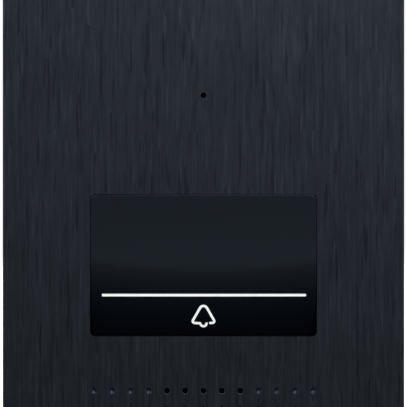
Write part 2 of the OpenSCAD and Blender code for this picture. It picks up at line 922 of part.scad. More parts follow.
module inner_housing() {
    post = 6;
    color("#1a1c1f") on_wall() difference() {
        union() {
            difference() {
                slab(housing_w, housing_h, housing_corner, cover_back, plate_back);
                slab(housing_w - 2 * skirt_t, housing_h - 2 * skirt_t, 0.8, cover_back - 1, housing_inside);
                slab(housing_w - 3, housing_h - 3, 0.8, housing_face, plate_back + 1);
            }
            at_board_screws() rod(post, board_front, housing_inside + 1);
            at(0, camera_y, 0) corners(bracket_screw_x, bracket_screw_y)
                rod(post, bracket_front, housing_inside + 1);
            at_cover_screws() rod(post, cover_front, housing_inside + 1);
            at_studs() rod(post, housing_face - 0.5, plate_back);
            for (x = [-lock_x, lock_x])
                at(x, -housing_h / 2 + 3, lock_z) cube([9, 6, 9], center = true);
            for (side = [-1, 1])
                at(side * hook_x, housing_h / 2 - 0.5, hook_z)
                    translate([-hook_w / 2, 0, 0]) cube([hook_w, hook_out + 0.5, hook_t]);
        }
        at(0, camera_y, 0) block(opening_w - 4, opening_h - 4, housing_inside - 1, housing_face + 1);
        at(0, button_y, 0)
            slab(key_w + 2 * (frame_gap + frame_t + 0.2), key_h + 2 * (frame_gap + frame_t + 0.2), 2,
                housing_inside - 1, housing_face + 1);
        at(0, grille_y, 0) rod(speaker_d + 0.4, housing_inside - 1, housing_face + 1);
        at(0, mic_y, 0) rod(mic_d + 1 + 2 * slip, housing_inside - 1, housing_face + 1);
        at_board_screws() rod(2.6, board_front - 1, housing_inside);
        at(0, camera_y, 0) corners(bracket_screw_x, bracket_screw_y)
            rod(2, bracket_front - 1, housing_face - 0.4);
        at_cover_screws() rod(2.6, cover_front - 1, housing_inside);
        at_studs() rod(stud_d + 0.2, housing_inside - 1, plate_back + 1);
        lock_positions() rotate([-90, 0, 0])
            translate([0, 0, -1]) cylinder(d = insert_d, h = insert_long + 1);
    }
}

module rear_cover() {
    inset = skirt_t + 0.15;
    color("#232529") on_wall() difference() {
        slab(housing_w - 2 * inset, housing_h - 2 * inset, 0.8, cover_back, cover_front);
        at(0, terminal_y, 0) block(terminal_w + 0.6, terminal_h + 0.6, cover_back - 1, cover_front + 1);
        at(tamper_x, tamper_y, 0) rod(tamper_d + 1, cover_back - 1, cover_front + 1);
        at_cover_screws() rod(3, cover_back - 1, cover_front + 1);
        for (x = [-lock_x, lock_x])
            at(x, -housing_h / 2 + 3, 0) block(9.4, 6.4, cover_back - 1, cover_front + 1);
    }
}

module cover_screws() {
    color("silver") on_wall() at_cover_screws() screw(2.6, 5, 1.6, 8, cover_back);
}

module perimeter_gasket() {
    color("#2a2a2a") on_wall()
        slab_ring(box_w - 0.4, box_h - 0.4, box_corner, box_wall - 0.4, box_rim, plate_back);
}

module fixing_positions() { corners(fixing_x / 2, fixing_y / 2) children(); }

module at_plate_screws() {
    inset = box_wall + back_post_d / 2 - 0.2;
    corners(box_w / 2 - inset, box_h / 2 - inset) children();
}

// Rim of the wall box, open front and back
module wall_frame() {
    color("#1d1f22") on_wall() difference() {
        union() {
            slab_ring(box_w, box_h, box_corner, box_wall, 0, box_rim);
            at_plate_screws() rod(back_post_d, box_floor, box_floor + back_post_h);
        }
        at_plate_screws() rod(back_screw_d, box_floor - 1, box_floor + back_post_h - 1);
        for (side = [-1, 1])
            at(side * hook_x, box_h / 2 - box_wall - 1, hook_z - 0.3)
                translate([-hook_w / 2 - 0.4, 0, 0])
                    cube([hook_w + 0.8, hook_out - housing_gap + 1.3, hook_t + 0.6]);
        for (x = [-lock_x, lock_x])
            at(x, -box_h / 2 - 1, lock_z) rotate([-90, 0, 0]) cylinder(d = lock_d + 0.4, h = box_wall + 2);
        for (x = [-drain_x, drain_x])
            at(x, -box_h / 2 - 1, box_floor + drain_d)
                rotate([-90, 0, 0]) cylinder(d = drain_d, h = box_wall + 2);
    }
}

module back_plate() {
    color("#1d1f22") on_wall() difference() {
        union() {
            slab(box_w - 2 * box_wall, box_h - 2 * box_wall, box_corner - box_wall, 0, box_floor);
            fixing_positions() rod(fixing_d + 5, box_floor - 0.5, box_floor + 1.2);
            at(0, cable_y, 0) rod(grommet_d + 5, 0.5, box_floor + 1);
            for (x = [-40, 40]) at(x, 0, 0) block(1.6, box_h - 60, box_floor - 0.5, box_floor + 2);
        }
        fixing_positions() rod(fixing_d, -1, box_floor + 3);
        for (x = [-fixing_x / 2, fixing_x / 2]) at(x, cable_y, 0) rod(fixing_d, -1, box_floor + 3);
        at(0, cable_y, 0) rod(grommet_d, -1, box_floor + 2);
        at(tamper_x, tamper_y, 0) rod(tamper_d + 1.4, -1, box_floor + 3);
        slab_ring(box_w - 2 * seal_inset, box_h - 2 * seal_inset, 2, seal_w, -1, seal_deep);
        at_plate_screws() rod(back_screw_d + 0.3, -1, box_floor + 1);
        at_plate_screws() rod(back_head_d + 0.4, -1, back_head_t + 0.2);
    }
}

module back_plate_screws() {
    color("silver") on_wall() at_plate_screws()
        screw(back_screw_d, back_head_d, back_head_t, 6, back_head_t + 0.2);
}

module wall_seal() {
    inset = 2 * seal_inset + 0.2;
    color("#3a3a3a") on_wall()
        slab_ring(box_w - inset, box_h - inset, 2, seal_w - 0.2, 0, seal_deep);
}

module cable_grommet() {
    color("#141414") on_wall() at(0, cable_y, 0) difference() {
        union() {
            rod(grommet_d - 0.1, 0, box_floor + 1);
            rod(grommet_d + 3, box_floor + 1, box_floor + 1 + grommet_lip);
        }
        rod(cable_d, -1, box_floor + 4);
        difference() {
            rod(grommet_d - 3, box_floor, box_floor + 4);
            rod(cable_d + 3, box_floor - 1, box_floor + 5);
        }
    }
}

module lock_inserts() {
    color("goldenrod") on_wall() lock_positions() rotate([-90, 0, 0]) difference() {
        cylinder(d = insert_d - 2 * slip, h = insert_long);
        translate([0, 0, -1]) cylinder(d = lock_d + 2 * slip, h = insert_long + 2);
    }
}

module lock_screws() {
    reach = box_wall + housing_gap + insert_long - 0.4;
    color("silver") on_wall() for (x = [-lock_x, lock_x])
        at(x, -box_h / 2, lock_z) rotate([-90, 0, 0]) difference() {
            union() {
                cylinder(d = lock_d, h = reach);
                translate([0, 0, -lock_head_t]) cylinder(d = lock_head_d, h = lock_head_t);
            }
            translate([0, 0, -lock_head_t - 1]) cylinder(d = 2.4, h = 1.9, $fn = 6);
        }
}

front_plate();
plate_studs();
plate_nuts();
camera_window();
window_gasket();
camera_holder();
lens_barrel();
lens_front();
lens_ring();
image_sensor();
sensor_board();
camera_yoke();
camera_bracket();
bracket_screws();
led_board();
infrared_leds();
light_sensor();
call_button();
legend_inlay();
light_guide();
name_label();
label_carrier();
button_frame();
frame_gasket();
hinge_pins();
return_springs();
switch_bodies();
switch_plungers();
button_leds();
acoustic_membrane();
speaker_gasket();
speaker_basket();
speaker_magnet();
speaker_cone();
speaker_surround();
voice_coil();
microphone();
microphone_boot();
main_board();
board_screws();
processor_shield();
board_chips();
capacitors();
relay();
terminal_header();
terminal_plug();
tamper_switch();
tamper_plunger();
tamper_spring();
inner_housing();
rear_cover();
cover_screws();
perimeter_gasket();
wall_frame();
back_plate();
back_plate_screws();
wall_seal();
cable_grommet();
lock_inserts();
lock_screws();
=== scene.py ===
"""Looks of a surface-mounted video door station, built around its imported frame.

All sizes are metres in the CAD frame: +Z up, -Y out of the wall, the wall's surface at Y = 0.
"""

import json
import logging
import math
from dataclasses import dataclass
from enum import Enum
from typing import Callable, Iterable, Optional, Sequence

import bmesh
import bpy
from mathutils import Euler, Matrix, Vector


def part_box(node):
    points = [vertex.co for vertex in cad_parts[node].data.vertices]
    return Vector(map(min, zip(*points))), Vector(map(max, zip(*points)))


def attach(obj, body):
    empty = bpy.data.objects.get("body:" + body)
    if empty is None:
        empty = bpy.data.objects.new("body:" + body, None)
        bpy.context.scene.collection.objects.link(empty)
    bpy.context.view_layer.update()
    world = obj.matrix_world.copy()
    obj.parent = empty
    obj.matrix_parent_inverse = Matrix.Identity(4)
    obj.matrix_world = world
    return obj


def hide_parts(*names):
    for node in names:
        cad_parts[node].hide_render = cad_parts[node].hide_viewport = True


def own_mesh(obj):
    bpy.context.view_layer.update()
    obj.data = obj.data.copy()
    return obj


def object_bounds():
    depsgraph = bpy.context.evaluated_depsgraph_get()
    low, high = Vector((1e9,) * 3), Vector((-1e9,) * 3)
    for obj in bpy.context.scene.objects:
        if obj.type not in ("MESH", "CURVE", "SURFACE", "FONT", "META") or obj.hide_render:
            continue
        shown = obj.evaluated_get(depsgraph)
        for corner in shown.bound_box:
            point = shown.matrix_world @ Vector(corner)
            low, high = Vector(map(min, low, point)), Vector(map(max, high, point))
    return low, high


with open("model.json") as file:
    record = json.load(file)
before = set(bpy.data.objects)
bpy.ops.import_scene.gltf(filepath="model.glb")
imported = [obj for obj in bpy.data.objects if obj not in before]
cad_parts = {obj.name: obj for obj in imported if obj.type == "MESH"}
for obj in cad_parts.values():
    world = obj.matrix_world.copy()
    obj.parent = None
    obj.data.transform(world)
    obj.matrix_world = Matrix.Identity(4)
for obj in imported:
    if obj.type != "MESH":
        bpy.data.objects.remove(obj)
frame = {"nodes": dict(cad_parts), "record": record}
CAD_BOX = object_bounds()

log = logging.getLogger("door_station")

MM = 0.001
UPRIGHT = (math.pi / 2, 0.0, 0.0)

Point = tuple[float, float]
Size = tuple[float, float, float]
Outline = list[Point]
Loop = Sequence[bmesh.types.BMVert]
Mesh = bmesh.types.BMesh
Tree = bpy.types.NodeTree
Node = bpy.types.Node
Link = bpy.types.NodeSocket
Sockets = dict[str, object]


# ---------------------------------------------------------------- colour and node helpers


def linear(code: str) -> tuple[float, float, float, float]:
    """Turns an sRGB hex colour into linear light.

    Args:
        code: Colour written as "#rrggbb".

    Returns:
        Red, green, blue and an alpha of 1.
    """
    parts = [int(code[i : i + 2], 16) / 255 for i in (1, 3, 5)]
    light = [c / 12.92 if c <= 0.04045 else ((c + 0.055) / 1.055) ** 2.4 for c in parts]
    return (light[0], light[1], light[2], 1.0)


def add_node(tree: Tree, kind: str, sockets: Optional[dict] = None, **settings: object) -> Node:
    """Adds a node with its settings, values and links.

    Args:
        tree: Node tree that gets the node.
        kind: Blender's type name of the node.
        sockets: Input name or index to a value, or to what is linked to it: an output socket, or a
            node, which stands for its first output.
        **settings: Attributes of the node.

    Returns:
        The new node.
    """
    node = tree.nodes.new(kind)
    for name, value in settings.items():
        setattr(node, name, value)
    for key, value in (sockets or {}).items():
        if isinstance(value, Node):
            value = value.outputs[0]
        if isinstance(value, Link):
            tree.links.new(value, node.inputs[key])
        else:
            node.inputs[key].default_value = value
    return node


def stretched_noise(tree: Tree, place: Link, cell: Size, detail: float = 2.0, seed: float = 0.0) -> Node:
    """Noise whose cells measure cell along X, Y and Z.

    Args:
        tree: The material's node tree.
        place: Object coordinates in metres.
        cell: Size of one cell along each axis, in metres.
        detail: Octaves of finer noise on top.
        seed: Shifts the pattern.

    Returns:
        The noise, whose first output runs from 0 to 1.
    """
    scale = tuple(1 / c for c in cell)
    spread = add_node(tree, "ShaderNodeMapping", {"Vector": place, "Location": (seed,) * 3, "Scale": scale})
    shape = {"Vector": spread, "Scale": 1.0, "Detail": detail, "Roughness": 0.55}
    return add_node(tree, "ShaderNodeTexNoise", shape)


# ---------------------------------------------------------------- finishes


class Finish:
    """A surface finish that makes its material once."""

    name: str

    def skin(self, tree: Tree, place: Link) -> Sockets:
        """Adds the finish's patterns. Each finish has its own.

        Args:
            tree: The material's node tree.
            place: Object coordinates in metres.

        Returns:
            Input name of the shader to its value or pattern.
        """
        raise NotImplementedError

    def material(self) -> bpy.types.Material:
        """Makes the finish's material the first time and finds it again after that.

        Returns:
            The material.
        """
        made = bpy.data.materials.get(self.name)
        if made is None:
            made = bpy.data.materials.new(self.name)
            made.use_nodes = True
            tree = made.node_tree
            tree.nodes.clear()
            place = add_node(tree, "ShaderNodeTexCoord").outputs["Object"]
            skin = add_node(tree, "ShaderNodeBsdfPrincipled", self.skin(tree, place))
            add_node(tree, "ShaderNodeOutputMaterial", {"Surface": skin})
        return made


@dataclass(frozen=True)
class BrushedAnodisedAluminium(Finish):
    """Rolled aluminium sheet, belt brushed upright and dyed black in the anodising bath.

    The belt leaves fine upright lines, drawn here about half a millimetre apart so that they show.
    Light spreads sideways across them and the dark oxide keeps a cool, satin depth.
    """

    name: str = "anodised_aluminium_brushed_upright"
    tone: str = "#2b3037"
    pale: str = "#40464e"
    line: Size = (0.85 * MM, 5 * MM, 26 * MM)
    stroke: Size = (0.55 * MM, 5 * MM, 8 * MM)
    cloud: Size = (9 * MM, 9 * MM, 16 * MM)

    def skin(self, tree: Tree, place: Link) -> Sockets:
        """Brushed lines, single strokes and slow clouds mix two tones and move the gloss.

        Args:
            tree: The material's node tree.
            place: Object coordinates in metres.

        Returns:
            The shader's sockets.
        """
        line = stretched_noise(tree, place, self.line, 1.0)
        cloud = stretched_noise(tree, place, self.cloud, 3.0, 3.1)
        mixed = add_node(tree, "ShaderNodeMath", {0: line, 1: 0.55}, operation="MULTIPLY")
        mixed = add_node(tree, "ShaderNodeMath", {0: cloud, 1: 0.65, 2: mixed}, operation="MULTIPLY_ADD")
        for size, weight in ((1.0, 0.5), (0.6, 0.3)):
            scale = tuple(1 / (c * size) for c in self.stroke)
            cell = add_node(tree, "ShaderNodeMapping", {"Vector": place, "Scale": scale})
            stroke = add_node(tree, "ShaderNodeTexVoronoi", {"Vector": cell, "Scale": 1.0})
            depth = add_node(tree, "ShaderNodeSeparateColor", {0: stroke.outputs["Color"]})
            swing = add_node(tree, "ShaderNodeMapRange", {0: depth, 3: -1.0, 4: 1.0})
            # a high power leaves most strokes alone and makes a few stand out, dark or pale
            tail = add_node(tree, "ShaderNodeMath", {0: swing, 1: 7.0}, operation="POWER")
            mixed = add_node(tree, "ShaderNodeMath", {0: tail, 1: weight, 2: mixed}, operation="MULTIPLY_ADD")
        factor = add_node(tree, "ShaderNodeMapRange", {0: mixed, 1: 0.1, 2: 1.1})
        tones = {0: factor, 6: linear(self.tone), 7: linear(self.pale)}
        relief = {"Height": line, "Strength": 0.22, "Distance": 0.02 * MM}
        return {
            "Base Color": add_node(tree, "ShaderNodeMix", tones, data_type="RGBA").outputs[2],
            "Metallic": 1.0,
            "Anisotropic": 0.5,
            "Roughness": add_node(tree, "ShaderNodeMapRange", {0: line, 1: 0.3, 2: 0.7, 3: 0.36, 4: 0.44}),
            "Tangent": add_node(tree, "ShaderNodeCombineXYZ", {2: 1.0}),
            "Normal": add_node(tree, "ShaderNodeBump", relief),
        }


@dataclass(frozen=True)
class DrilledAluminium(Finish):
    """The walls of the drilled holes: turned smooth by the drill, then dyed with the rest of the sheet; their
    tone is the sheet's black lightened past the face's, a painted highlight that brightens their glints.
    """

    name: str = "anodised_aluminium_drilled"
    # the sheet's black lightened past the face's tone: a painted highlight, so that the blind holes' glints
    # read brighter
    tone: str = "#4a515b"
    ring: float = 0.12 * MM

    def skin(self, tree: Tree, place: Link) -> Sockets:
        """The drill's fine rings, one below another along the hole, in a satin black.

        Args:
            tree: The material's node tree.
            place: Object coordinates in metres.

        Returns:
            The shader's sockets.
        """
        ring = stretched_noise(tree, place, (4 * MM, self.ring, 4 * MM), 1.0)
        return {
            "Base Color": linear(self.tone),
            "Metallic": 1.0,
            "Roughness": add_node(tree, "ShaderNodeMapRange", {0: ring, 1: 0.3, 2: 0.7, 3: 0.3, 4: 0.42}),
        }


@dataclass(frozen=True)
class MilledAluminium(Finish):
    """The walls of the milled openings: a cutter's coarse, upright marks in the black dye; their tone is darker
    than the face's, partly the cut edge's own rough black and partly painted shade in the gaps round the button
    and the window.
    """

    name: str = "anodised_aluminium_milled"
    # darker than the face's tone: partly the cut edge's own rough black, partly painted shade in the gaps round
    # the button and the window
    tone: str = "#15181c"
    pass_width: float = 0.5 * MM

    def skin(self, tree: Tree, place: Link) -> Sockets:
        """Cutter marks half a millimetre apart in a dull black.

        Args:
            tree: The material's node tree.
            place: Object coordinates in metres.

        Returns:
            The shader's sockets.
        """
        mark = stretched_noise(tree, place, (self.pass_width, 6 * MM, self.pass_width), 1.0)
        relief = {"Height": mark, "Strength": 0.3, "Distance": 0.02 * MM}
        return {
            "Base Color": linear(self.tone),
            "Metallic": 1.0,
            "Roughness": add_node(tree, "ShaderNodeMapRange", {0: mark, 1: 0.3, 2: 0.7, 3: 0.45, 4: 0.6}),
            "Normal": add_node(tree, "ShaderNodeBump", relief),
        }


@dataclass(frozen=True)
class PolishedPlastic(Finish):
    """ABS from a polished mould: a deep, dark gloss with very slight flow waves."""

    name: str = "abs_polished_black"
    tone: str = "#020408"
    tint: str = "#d6eaff"
    roughness: float = 0.06
    wave: Size = (14 * MM, 14 * MM, 14 * MM)
    wipe: Size = (2 * MM, 2 * MM, 2 * MM)

    def skin(self, tree: Tree, place: Link) -> Sockets:
        """Even dark colour, a low roughness with faint wipe marks and slow waves in the surface.

        Args:
            tree: The material's node tree.
            place: Object coordinates in metres.

        Returns:
            The shader's sockets.
        """
        wave = stretched_noise(tree, place, self.wave, 1.0)
        wipe = stretched_noise(tree, place, self.wipe, 3.0, 5.0)
        gloss = {0: wipe, 1: 0.3, 2: 0.7, 3: self.roughness, 4: self.roughness + 0.03}
        relief = {"Height": wave, "Strength": 0.05, "Distance": 0.05 * MM}
        return {
            "Base Color": linear(self.tone),
            "IOR": 1.49,
            "Specular Tint": linear(self.tint),
            "Roughness": add_node(tree, "ShaderNodeMapRange", gloss),
            "Normal": add_node(tree, "ShaderNodeBump", relief),
        }


@dataclass(frozen=True)
class LitPolycarbonate(Finish):
    """White polycarbonate with lamps behind it: an even white glow with slightly milky clouds."""

    name: str = "polycarbonate_white_lit"
    tone: str = "#e9ecea"
    glow: float = 0.06
    cloud: Size = (4 * MM, 4 * MM, 4 * MM)

    def skin(self, tree: Tree, place: Link) -> Sockets:
        """White that glows just enough to read as lit.

        Args:
            tree: The material's node tree.
            place: Object coordinates in metres.

        Returns:
            The shader's sockets.
        """
        cloud = stretched_noise(tree, place, self.cloud, 1.0)
        glow = {0: cloud, 1: 0.2, 2: 0.8, 3: self.glow * 0.97, 4: self.glow * 1.03}
        return {
            "Base Color": linear(self.tone),
            "Roughness": 0.35,
            "Emission Color": linear(self.tone),
            "Emission Strength": add_node(tree, "ShaderNodeMapRange", glow),
        }


@dataclass(frozen=True)
class Moulded(Finish):
    """Injection-moulded plastic with a spark-eroded grain."""

    name: str
    tone: str
    grain: float = 0.35 * MM
    depth: float = 0.02 * MM
    roughness: float = 0.48

    def skin(self, tree: Tree, place: Link) -> Sockets:
        """A fine grain in the surface, and a little uneven gloss and tone.

        Args:
            tree: The material's node tree.
            place: Object coordinates in metres.

        Returns:
            The shader's sockets.
        """
        grain = stretched_noise(tree, place, (self.grain,) * 3, 2.0)
        cloud = stretched_noise(tree, place, (18 * MM,) * 3, 2.0, 2.0)
        base = linear(self.tone)
        pale = (*(min(1.0, c * 1.16 + 0.001) for c in base[:3]), 1.0)
        gloss = {0: cloud, 1: 0.3, 2: 0.7, 3: self.roughness - 0.04, 4: self.roughness + 0.05}
        tones = {0: cloud, 6: base, 7: pale}
        relief = {"Height": grain, "Strength": 0.5, "Distance": self.depth}
        return {
            "Base Color": add_node(tree, "ShaderNodeMix", tones, data_type="RGBA").outputs[2],
            "IOR": 1.5,
            "Roughness": add_node(tree, "ShaderNodeMapRange", gloss),
            "Normal": add_node(tree, "ShaderNodeBump", relief),
        }


@dataclass(frozen=True)
class Rubber(Finish):
    """EPDM, closed-cell or moulded: matt black with small open pores."""

    name: str = "epdm_rubber_moulded"
    tone: str = "#17181a"
    pores_per_metre: float = 3000.0

    def skin(self, tree: Tree, place: Link) -> Sockets:
        """Pores of a third of a millimetre in a matt black.

        Args:
            tree: The material's node tree.
            place: Object coordinates in metres.

        Returns:
            The shader's sockets.
        """
        spread = add_node(tree, "ShaderNodeMapping", {"Vector": place, "Scale": (self.pores_per_metre,) * 3})
        pores = add_node(tree, "ShaderNodeTexVoronoi", {"Vector": spread, "Scale": 1.0})
        relief = {"Height": pores, "Strength": 0.12, "Distance": 0.04 * MM}
        return {
            "Base Color": linear(self.tone),
            "IOR": 1.52,
            "Roughness": add_node(tree, "ShaderNodeMapRange", {0: pores, 3: 0.85, 4: 0.66}),
            "Normal": add_node(tree, "ShaderNodeBump", relief),
        }


@dataclass(frozen=True)
class BareMetal(Finish):
    """Plated, turned, rolled or ground metal, with the marks of how it was made."""

    name: str
    tone: str
    roughness: float = 0.3
    mark: Size = (0.3 * MM, 0.3 * MM, 0.3 * MM)

    def skin(self, tree: Tree, place: Link) -> Sockets:
        """Metal with small marks in its gloss and a slight change of tone.

        Args:
            tree: The material's node tree.
            place: Object coordinates in metres.

        Returns:
            The shader's sockets.
        """
        mark = stretched_noise(tree, place, self.mark, 3.0)
        cloud = stretched_noise(tree, place, (6 * MM,) * 3, 2.0, 4.0)
        base = linear(self.tone)
        dark = (*(c * 0.8 for c in base[:3]), 1.0)
        gloss = {0: mark, 1: 0.3, 2: 0.7, 3: self.roughness - 0.05, 4: self.roughness + 0.1}
        tones = {0: cloud, 6: dark, 7: base}
        relief = {"Height": mark, "Strength": 0.1, "Distance": 0.01 * MM}
        return {
            "Base Color": add_node(tree, "ShaderNodeMix", tones, data_type="RGBA").outputs[2],
            "Metallic": 1.0,
            "Roughness": add_node(tree, "ShaderNodeMapRange", gloss),
            "Normal": add_node(tree, "ShaderNodeBump", relief),
        }


@dataclass(frozen=True)
class Glass(Finish):
    """Float or optical glass, tinted in the melt, with a clean polished face."""

    name: str
    tone: str
    roughness: float = 0.03

    def skin(self, tree: Tree, place: Link) -> Sockets:
        """Clear to the light in the tone of its tint, with a faint film of dust in the gloss.

        Args:
            tree: The material's node tree.
            place: Object coordinates in metres.

        Returns:
            The shader's sockets.
        """
        dust = stretched_noise(tree, place, (1.5 * MM,) * 3, 3.0)
        gloss = {0: dust, 1: 0.4, 2: 0.8, 3: self.roughness, 4: self.roughness + 0.04}
        return {
            "Base Color": linear(self.tone),
            "Transmission Weight": 1.0,
            "IOR": 1.5,
            "Roughness": add_node(tree, "ShaderNodeMapRange", gloss),
        }


@dataclass(frozen=True)
class SolderMask(Finish):
    """Glass-fibre laminate under green solder mask: glossy, with the copper tracks just showing."""

    name: str = "laminate_green_solder_mask"
    tone: str = "#0f4a2c"
    track: str = "#1c6a40"
    pitch: float = 1.27 * MM

    def skin(self, tree: Tree, place: Link) -> Sockets:
        """Paler copper tracks in square cells of a tenth of an inch.

        Args:
            tree: The material's node tree.
            place: Object coordinates in metres.

        Returns:
            The shader's sockets.
        """
        cells = add_node(tree, "ShaderNodeMapping", {"Vector": place, "Scale": (1 / self.pitch,) * 3})
        shape = {"Vector": cells, "Scale": 0.5, "Randomness": 0.6}
        block = add_node(tree, "ShaderNodeTexVoronoi", shape, distance="MANHATTAN")
        factor = add_node(tree, "ShaderNodeMapRange", {0: block, 1: 0.35, 2: 0.45, 3: 1.0, 4: 0.0})
        tones = {0: factor, 6: linear(self.tone), 7: linear(self.track)}
        relief = {"Height": factor, "Strength": 0.3, "Distance": 0.03 * MM}
        return {
            "Base Color": add_node(tree, "ShaderNodeMix", tones, data_type="RGBA").outputs[2],
            "Roughness": 0.28,
            "IOR": 1.55,
            "Normal": add_node(tree, "ShaderNodeBump", relief),
        }


@dataclass(frozen=True)
class Fibre(Finish):
    """Pressed paper pulp or woven acoustic cloth: matt, with threads or fibres in relief."""

    name: str
    tone: str
    thread: float = 0.3 * MM

    def skin(self, tree: Tree, place: Link) -> Sockets:
        """Crossing threads as two waves, one along X and one along Z.

        Args:
            tree: The material's node tree.
            place: Object coordinates in metres.

        Returns:
            The shader's sockets.
        """
        spread = add_node(tree, "ShaderNodeMapping", {"Vector": place, "Scale": (1 / self.thread,) * 3})
        split = add_node(tree, "ShaderNodeSeparateXYZ", {0: spread})
        waves = []
        for axis in (0, 2):
            turns = {0: split.outputs[axis], 1: math.tau}
            angle = add_node(tree, "ShaderNodeMath", turns, operation="MULTIPLY")
            waves.append(add_node(tree, "ShaderNodeMath", {0: angle}, operation="SINE"))
        weave = add_node(tree, "ShaderNodeMath", {0: waves[0], 1: waves[1]}, operation="MULTIPLY")
        factor = add_node(tree, "ShaderNodeMapRange", {0: weave, 1: -1.0, 2: 1.0})
        base = linear(self.tone)
        pale = (*(c * 1.5 + 0.002 for c in base[:3]), 1.0)
        tones = {0: factor, 6: base, 7: pale}
        relief = {"Height": weave, "Strength": 0.5, "Distance": 0.05 * MM}
        return {
            "Base Color": add_node(tree, "ShaderNodeMix", tones, data_type="RGBA").outputs[2],
            "Roughness": 0.9,
            "Normal": add_node(tree, "ShaderNodeBump", relief),
        }


class Slot(Enum):
    """The record's material slots, each with the finish that its nodes wear."""

    brushed_black = BrushedAnodisedAluminium()
    smoked_glass = Glass("glass_float_smoked", "#a4a8ae")
    gloss_black = PolishedPlastic()
    white_light = LitPolycarbonate()
    clear_guide = Moulded("acrylic_frosted", "#dfe6ea", roughness=0.25)
    black_plastic = Moulded("abs_moulded_black", "#1b1d20")
    dark_plastic = Moulded("abs_moulded_grey", "#2b2d30")
    green_plastic = Moulded("polyamide_moulded_green", "#1f6b38")
    white_plastic = Moulded("pbt_moulded_white", "#dedcd4")
    red_plastic = Moulded("acetal_moulded_red", "#8f2b1e")
    rubber = Rubber()
    steel = BareMetal("steel_zinc_plated", "#b9bbbd", 0.3)
    stainless = BareMetal("stainless_steel_drawn", "#c4c4c2", 0.24)
    brass = BareMetal("brass_turned", "#c49a4a", 0.26, (0.12 * MM, 2 * MM, 2 * MM))
    magnet = BareMetal("ferrite_nickel_plated", "#7d8085", 0.36)
    copper = BareMetal("copper_wire_enamelled", "#a4592c", 0.3, (2 * MM, 0.12 * MM, 2 * MM))
    board = SolderMask()
    chip = Moulded("epoxy_moulded_black", "#141416", 0.15 * MM, 0.01 * MM, 0.6)
    lens = Glass("glass_lens_coated", "#31406a")
    paper = Fibre("paper_pulp_pressed", "#2c2926", 0.8 * MM)
    label = Moulded("polyester_film_printed", "#101214", 0.8 * MM, 0.005 * MM, 0.35)
    mesh = Fibre("acoustic_cloth_woven", "#050505", 0.35 * MM)

    def material(self) -> bpy.types.Material:
        """Returns the material of this slot's finish."""
        return self.value.material()


# ---------------------------------------------------------------- mesh helpers


def rounded_outline(
    width: float, height: float, radius: float, centre_z: float = 0.0, steps: int = 8
) -> Outline:
    """Points of a rectangle with round corners, anticlockwise in x and z.

    Args:
        width: Size along X.
        height: Size along Z.
        radius: Corner radius.
        centre_z: Height of its centre.
        steps: Segments in each corner.

    Returns:
        The outline's points.
    """
    points: Outline = []
    for quarter, (sx, sz) in enumerate(((1, 1), (-1, 1), (-1, -1), (1, -1))):
        cx, cz = sx * (width / 2 - radius), sz * (height / 2 - radius) + centre_z
        for i in range(steps + 1):
            angle = math.pi / 2 * (quarter + i / steps)
            points.append((cx + radius * math.cos(angle), cz + radius * math.sin(angle)))
    return points


def circle_outline(radius: float, centre: Point, steps: int) -> Outline:
    """Points of a circle, anticlockwise in x and z.

    Args:
        radius: Its radius.
        centre: Its centre in x and z.
        steps: Number of points.

    Returns:
        The circle's points.
    """
    angles = [math.tau * i / steps for i in range(steps)]
    return [(centre[0] + radius * math.cos(a), centre[1] + radius * math.sin(a)) for a in angles]


def add_loop(mesh: Mesh, outline: Outline, y: float) -> list[bmesh.types.BMVert]:
    """Adds an outline's points at one depth and returns its vertices."""
    return [mesh.verts.new((x, y, z)) for x, z in outline]


def turned(mesh: Mesh, profile: Iterable[Point], centre: Point, steps: int) -> list[Loop]:
    """Adds one circle for each point of a turned profile.

    Args:
        mesh: Mesh that gets the circles.
        profile: Radius and Y of each circle.
        centre: Their centre in x and z.
        steps: Points in each circle.

    Returns:
        The circles' vertices.
    """
    return [add_loop(mesh, circle_outline(radius, centre, steps), y) for radius, y in profile]


def bridge(
    mesh: Mesh, first: Loop, second: Loop, smooth: bool = True, closed: bool = True, finish: int = 0
) -> None:
    """Joins two loops of the same length with quads.

    Args:
        mesh: Mesh that holds both loops.
        first: Vertices of one loop.
        second: Vertices of the other, in the same order.
        smooth: Whether the quads are shaded smooth.
        closed: Whether the last point joins the first.
        finish: Which of the piece's materials the quads wear.
    """
    count = len(first)
    for i in range(count if closed else count - 1):
        k = (i + 1) % count
        face = mesh.faces.new((first[i], first[k], second[k], second[i]))
        face.smooth = smooth
        face.material_index = finish


def sweep(mesh: Mesh, loops: Sequence[Loop], smooth: bool = True, closed: bool = True, finish: int = 0) -> None:
    """Joins each loop to the next.

    Args:
        mesh: Mesh that holds the loops.
        loops: The loops' vertices, in order.
        smooth: Whether the quads are shaded smooth.
        closed: Whether each loop's last point joins its first.
        finish: Which of the piece's materials the quads wear.
    """
    for near, far in zip(loops, loops[1:]):
        bridge(mesh, near, far, smooth, closed, finish)


def fill_between(mesh: Mesh, loops: Iterable[Loop], toward: float) -> None:
    """Fills the flat area between an outer loop and the loops inside it.

    Args:
        mesh: Mesh that holds the loops.
        loops: The loops' vertices, all at one depth.
        toward: Sign of Y that the new faces look along.
    """
    edges = []
    for loop in loops:
        for i, vert in enumerate(loop):
            after = loop[(i + 1) % len(loop)]
            edges.append(mesh.edges.get((vert, after)) or mesh.edges.new((vert, after)))
    made = bmesh.ops.triangle_fill(
        mesh, use_beauty=True, use_dissolve=False, edges=edges, normal=(0, toward, 0)
    )
    for face in made["geom"]:
        if isinstance(face, bmesh.types.BMFace):
            face.normal_update()
            if face.normal.y * toward < 0:
                face.normal_flip()
            face.smooth = False


def set_up(name: str, data: bpy.types.ID) -> bpy.types.Object:
    """Puts a mesh, lamp or camera in the scene.

    Args:
        name: Name of the object.
        data: What it shows.

    Returns:
        The new object, at the origin.
    """
    made = bpy.data.objects.new(name, data)
    bpy.context.scene.collection.objects.link(made)
    return made


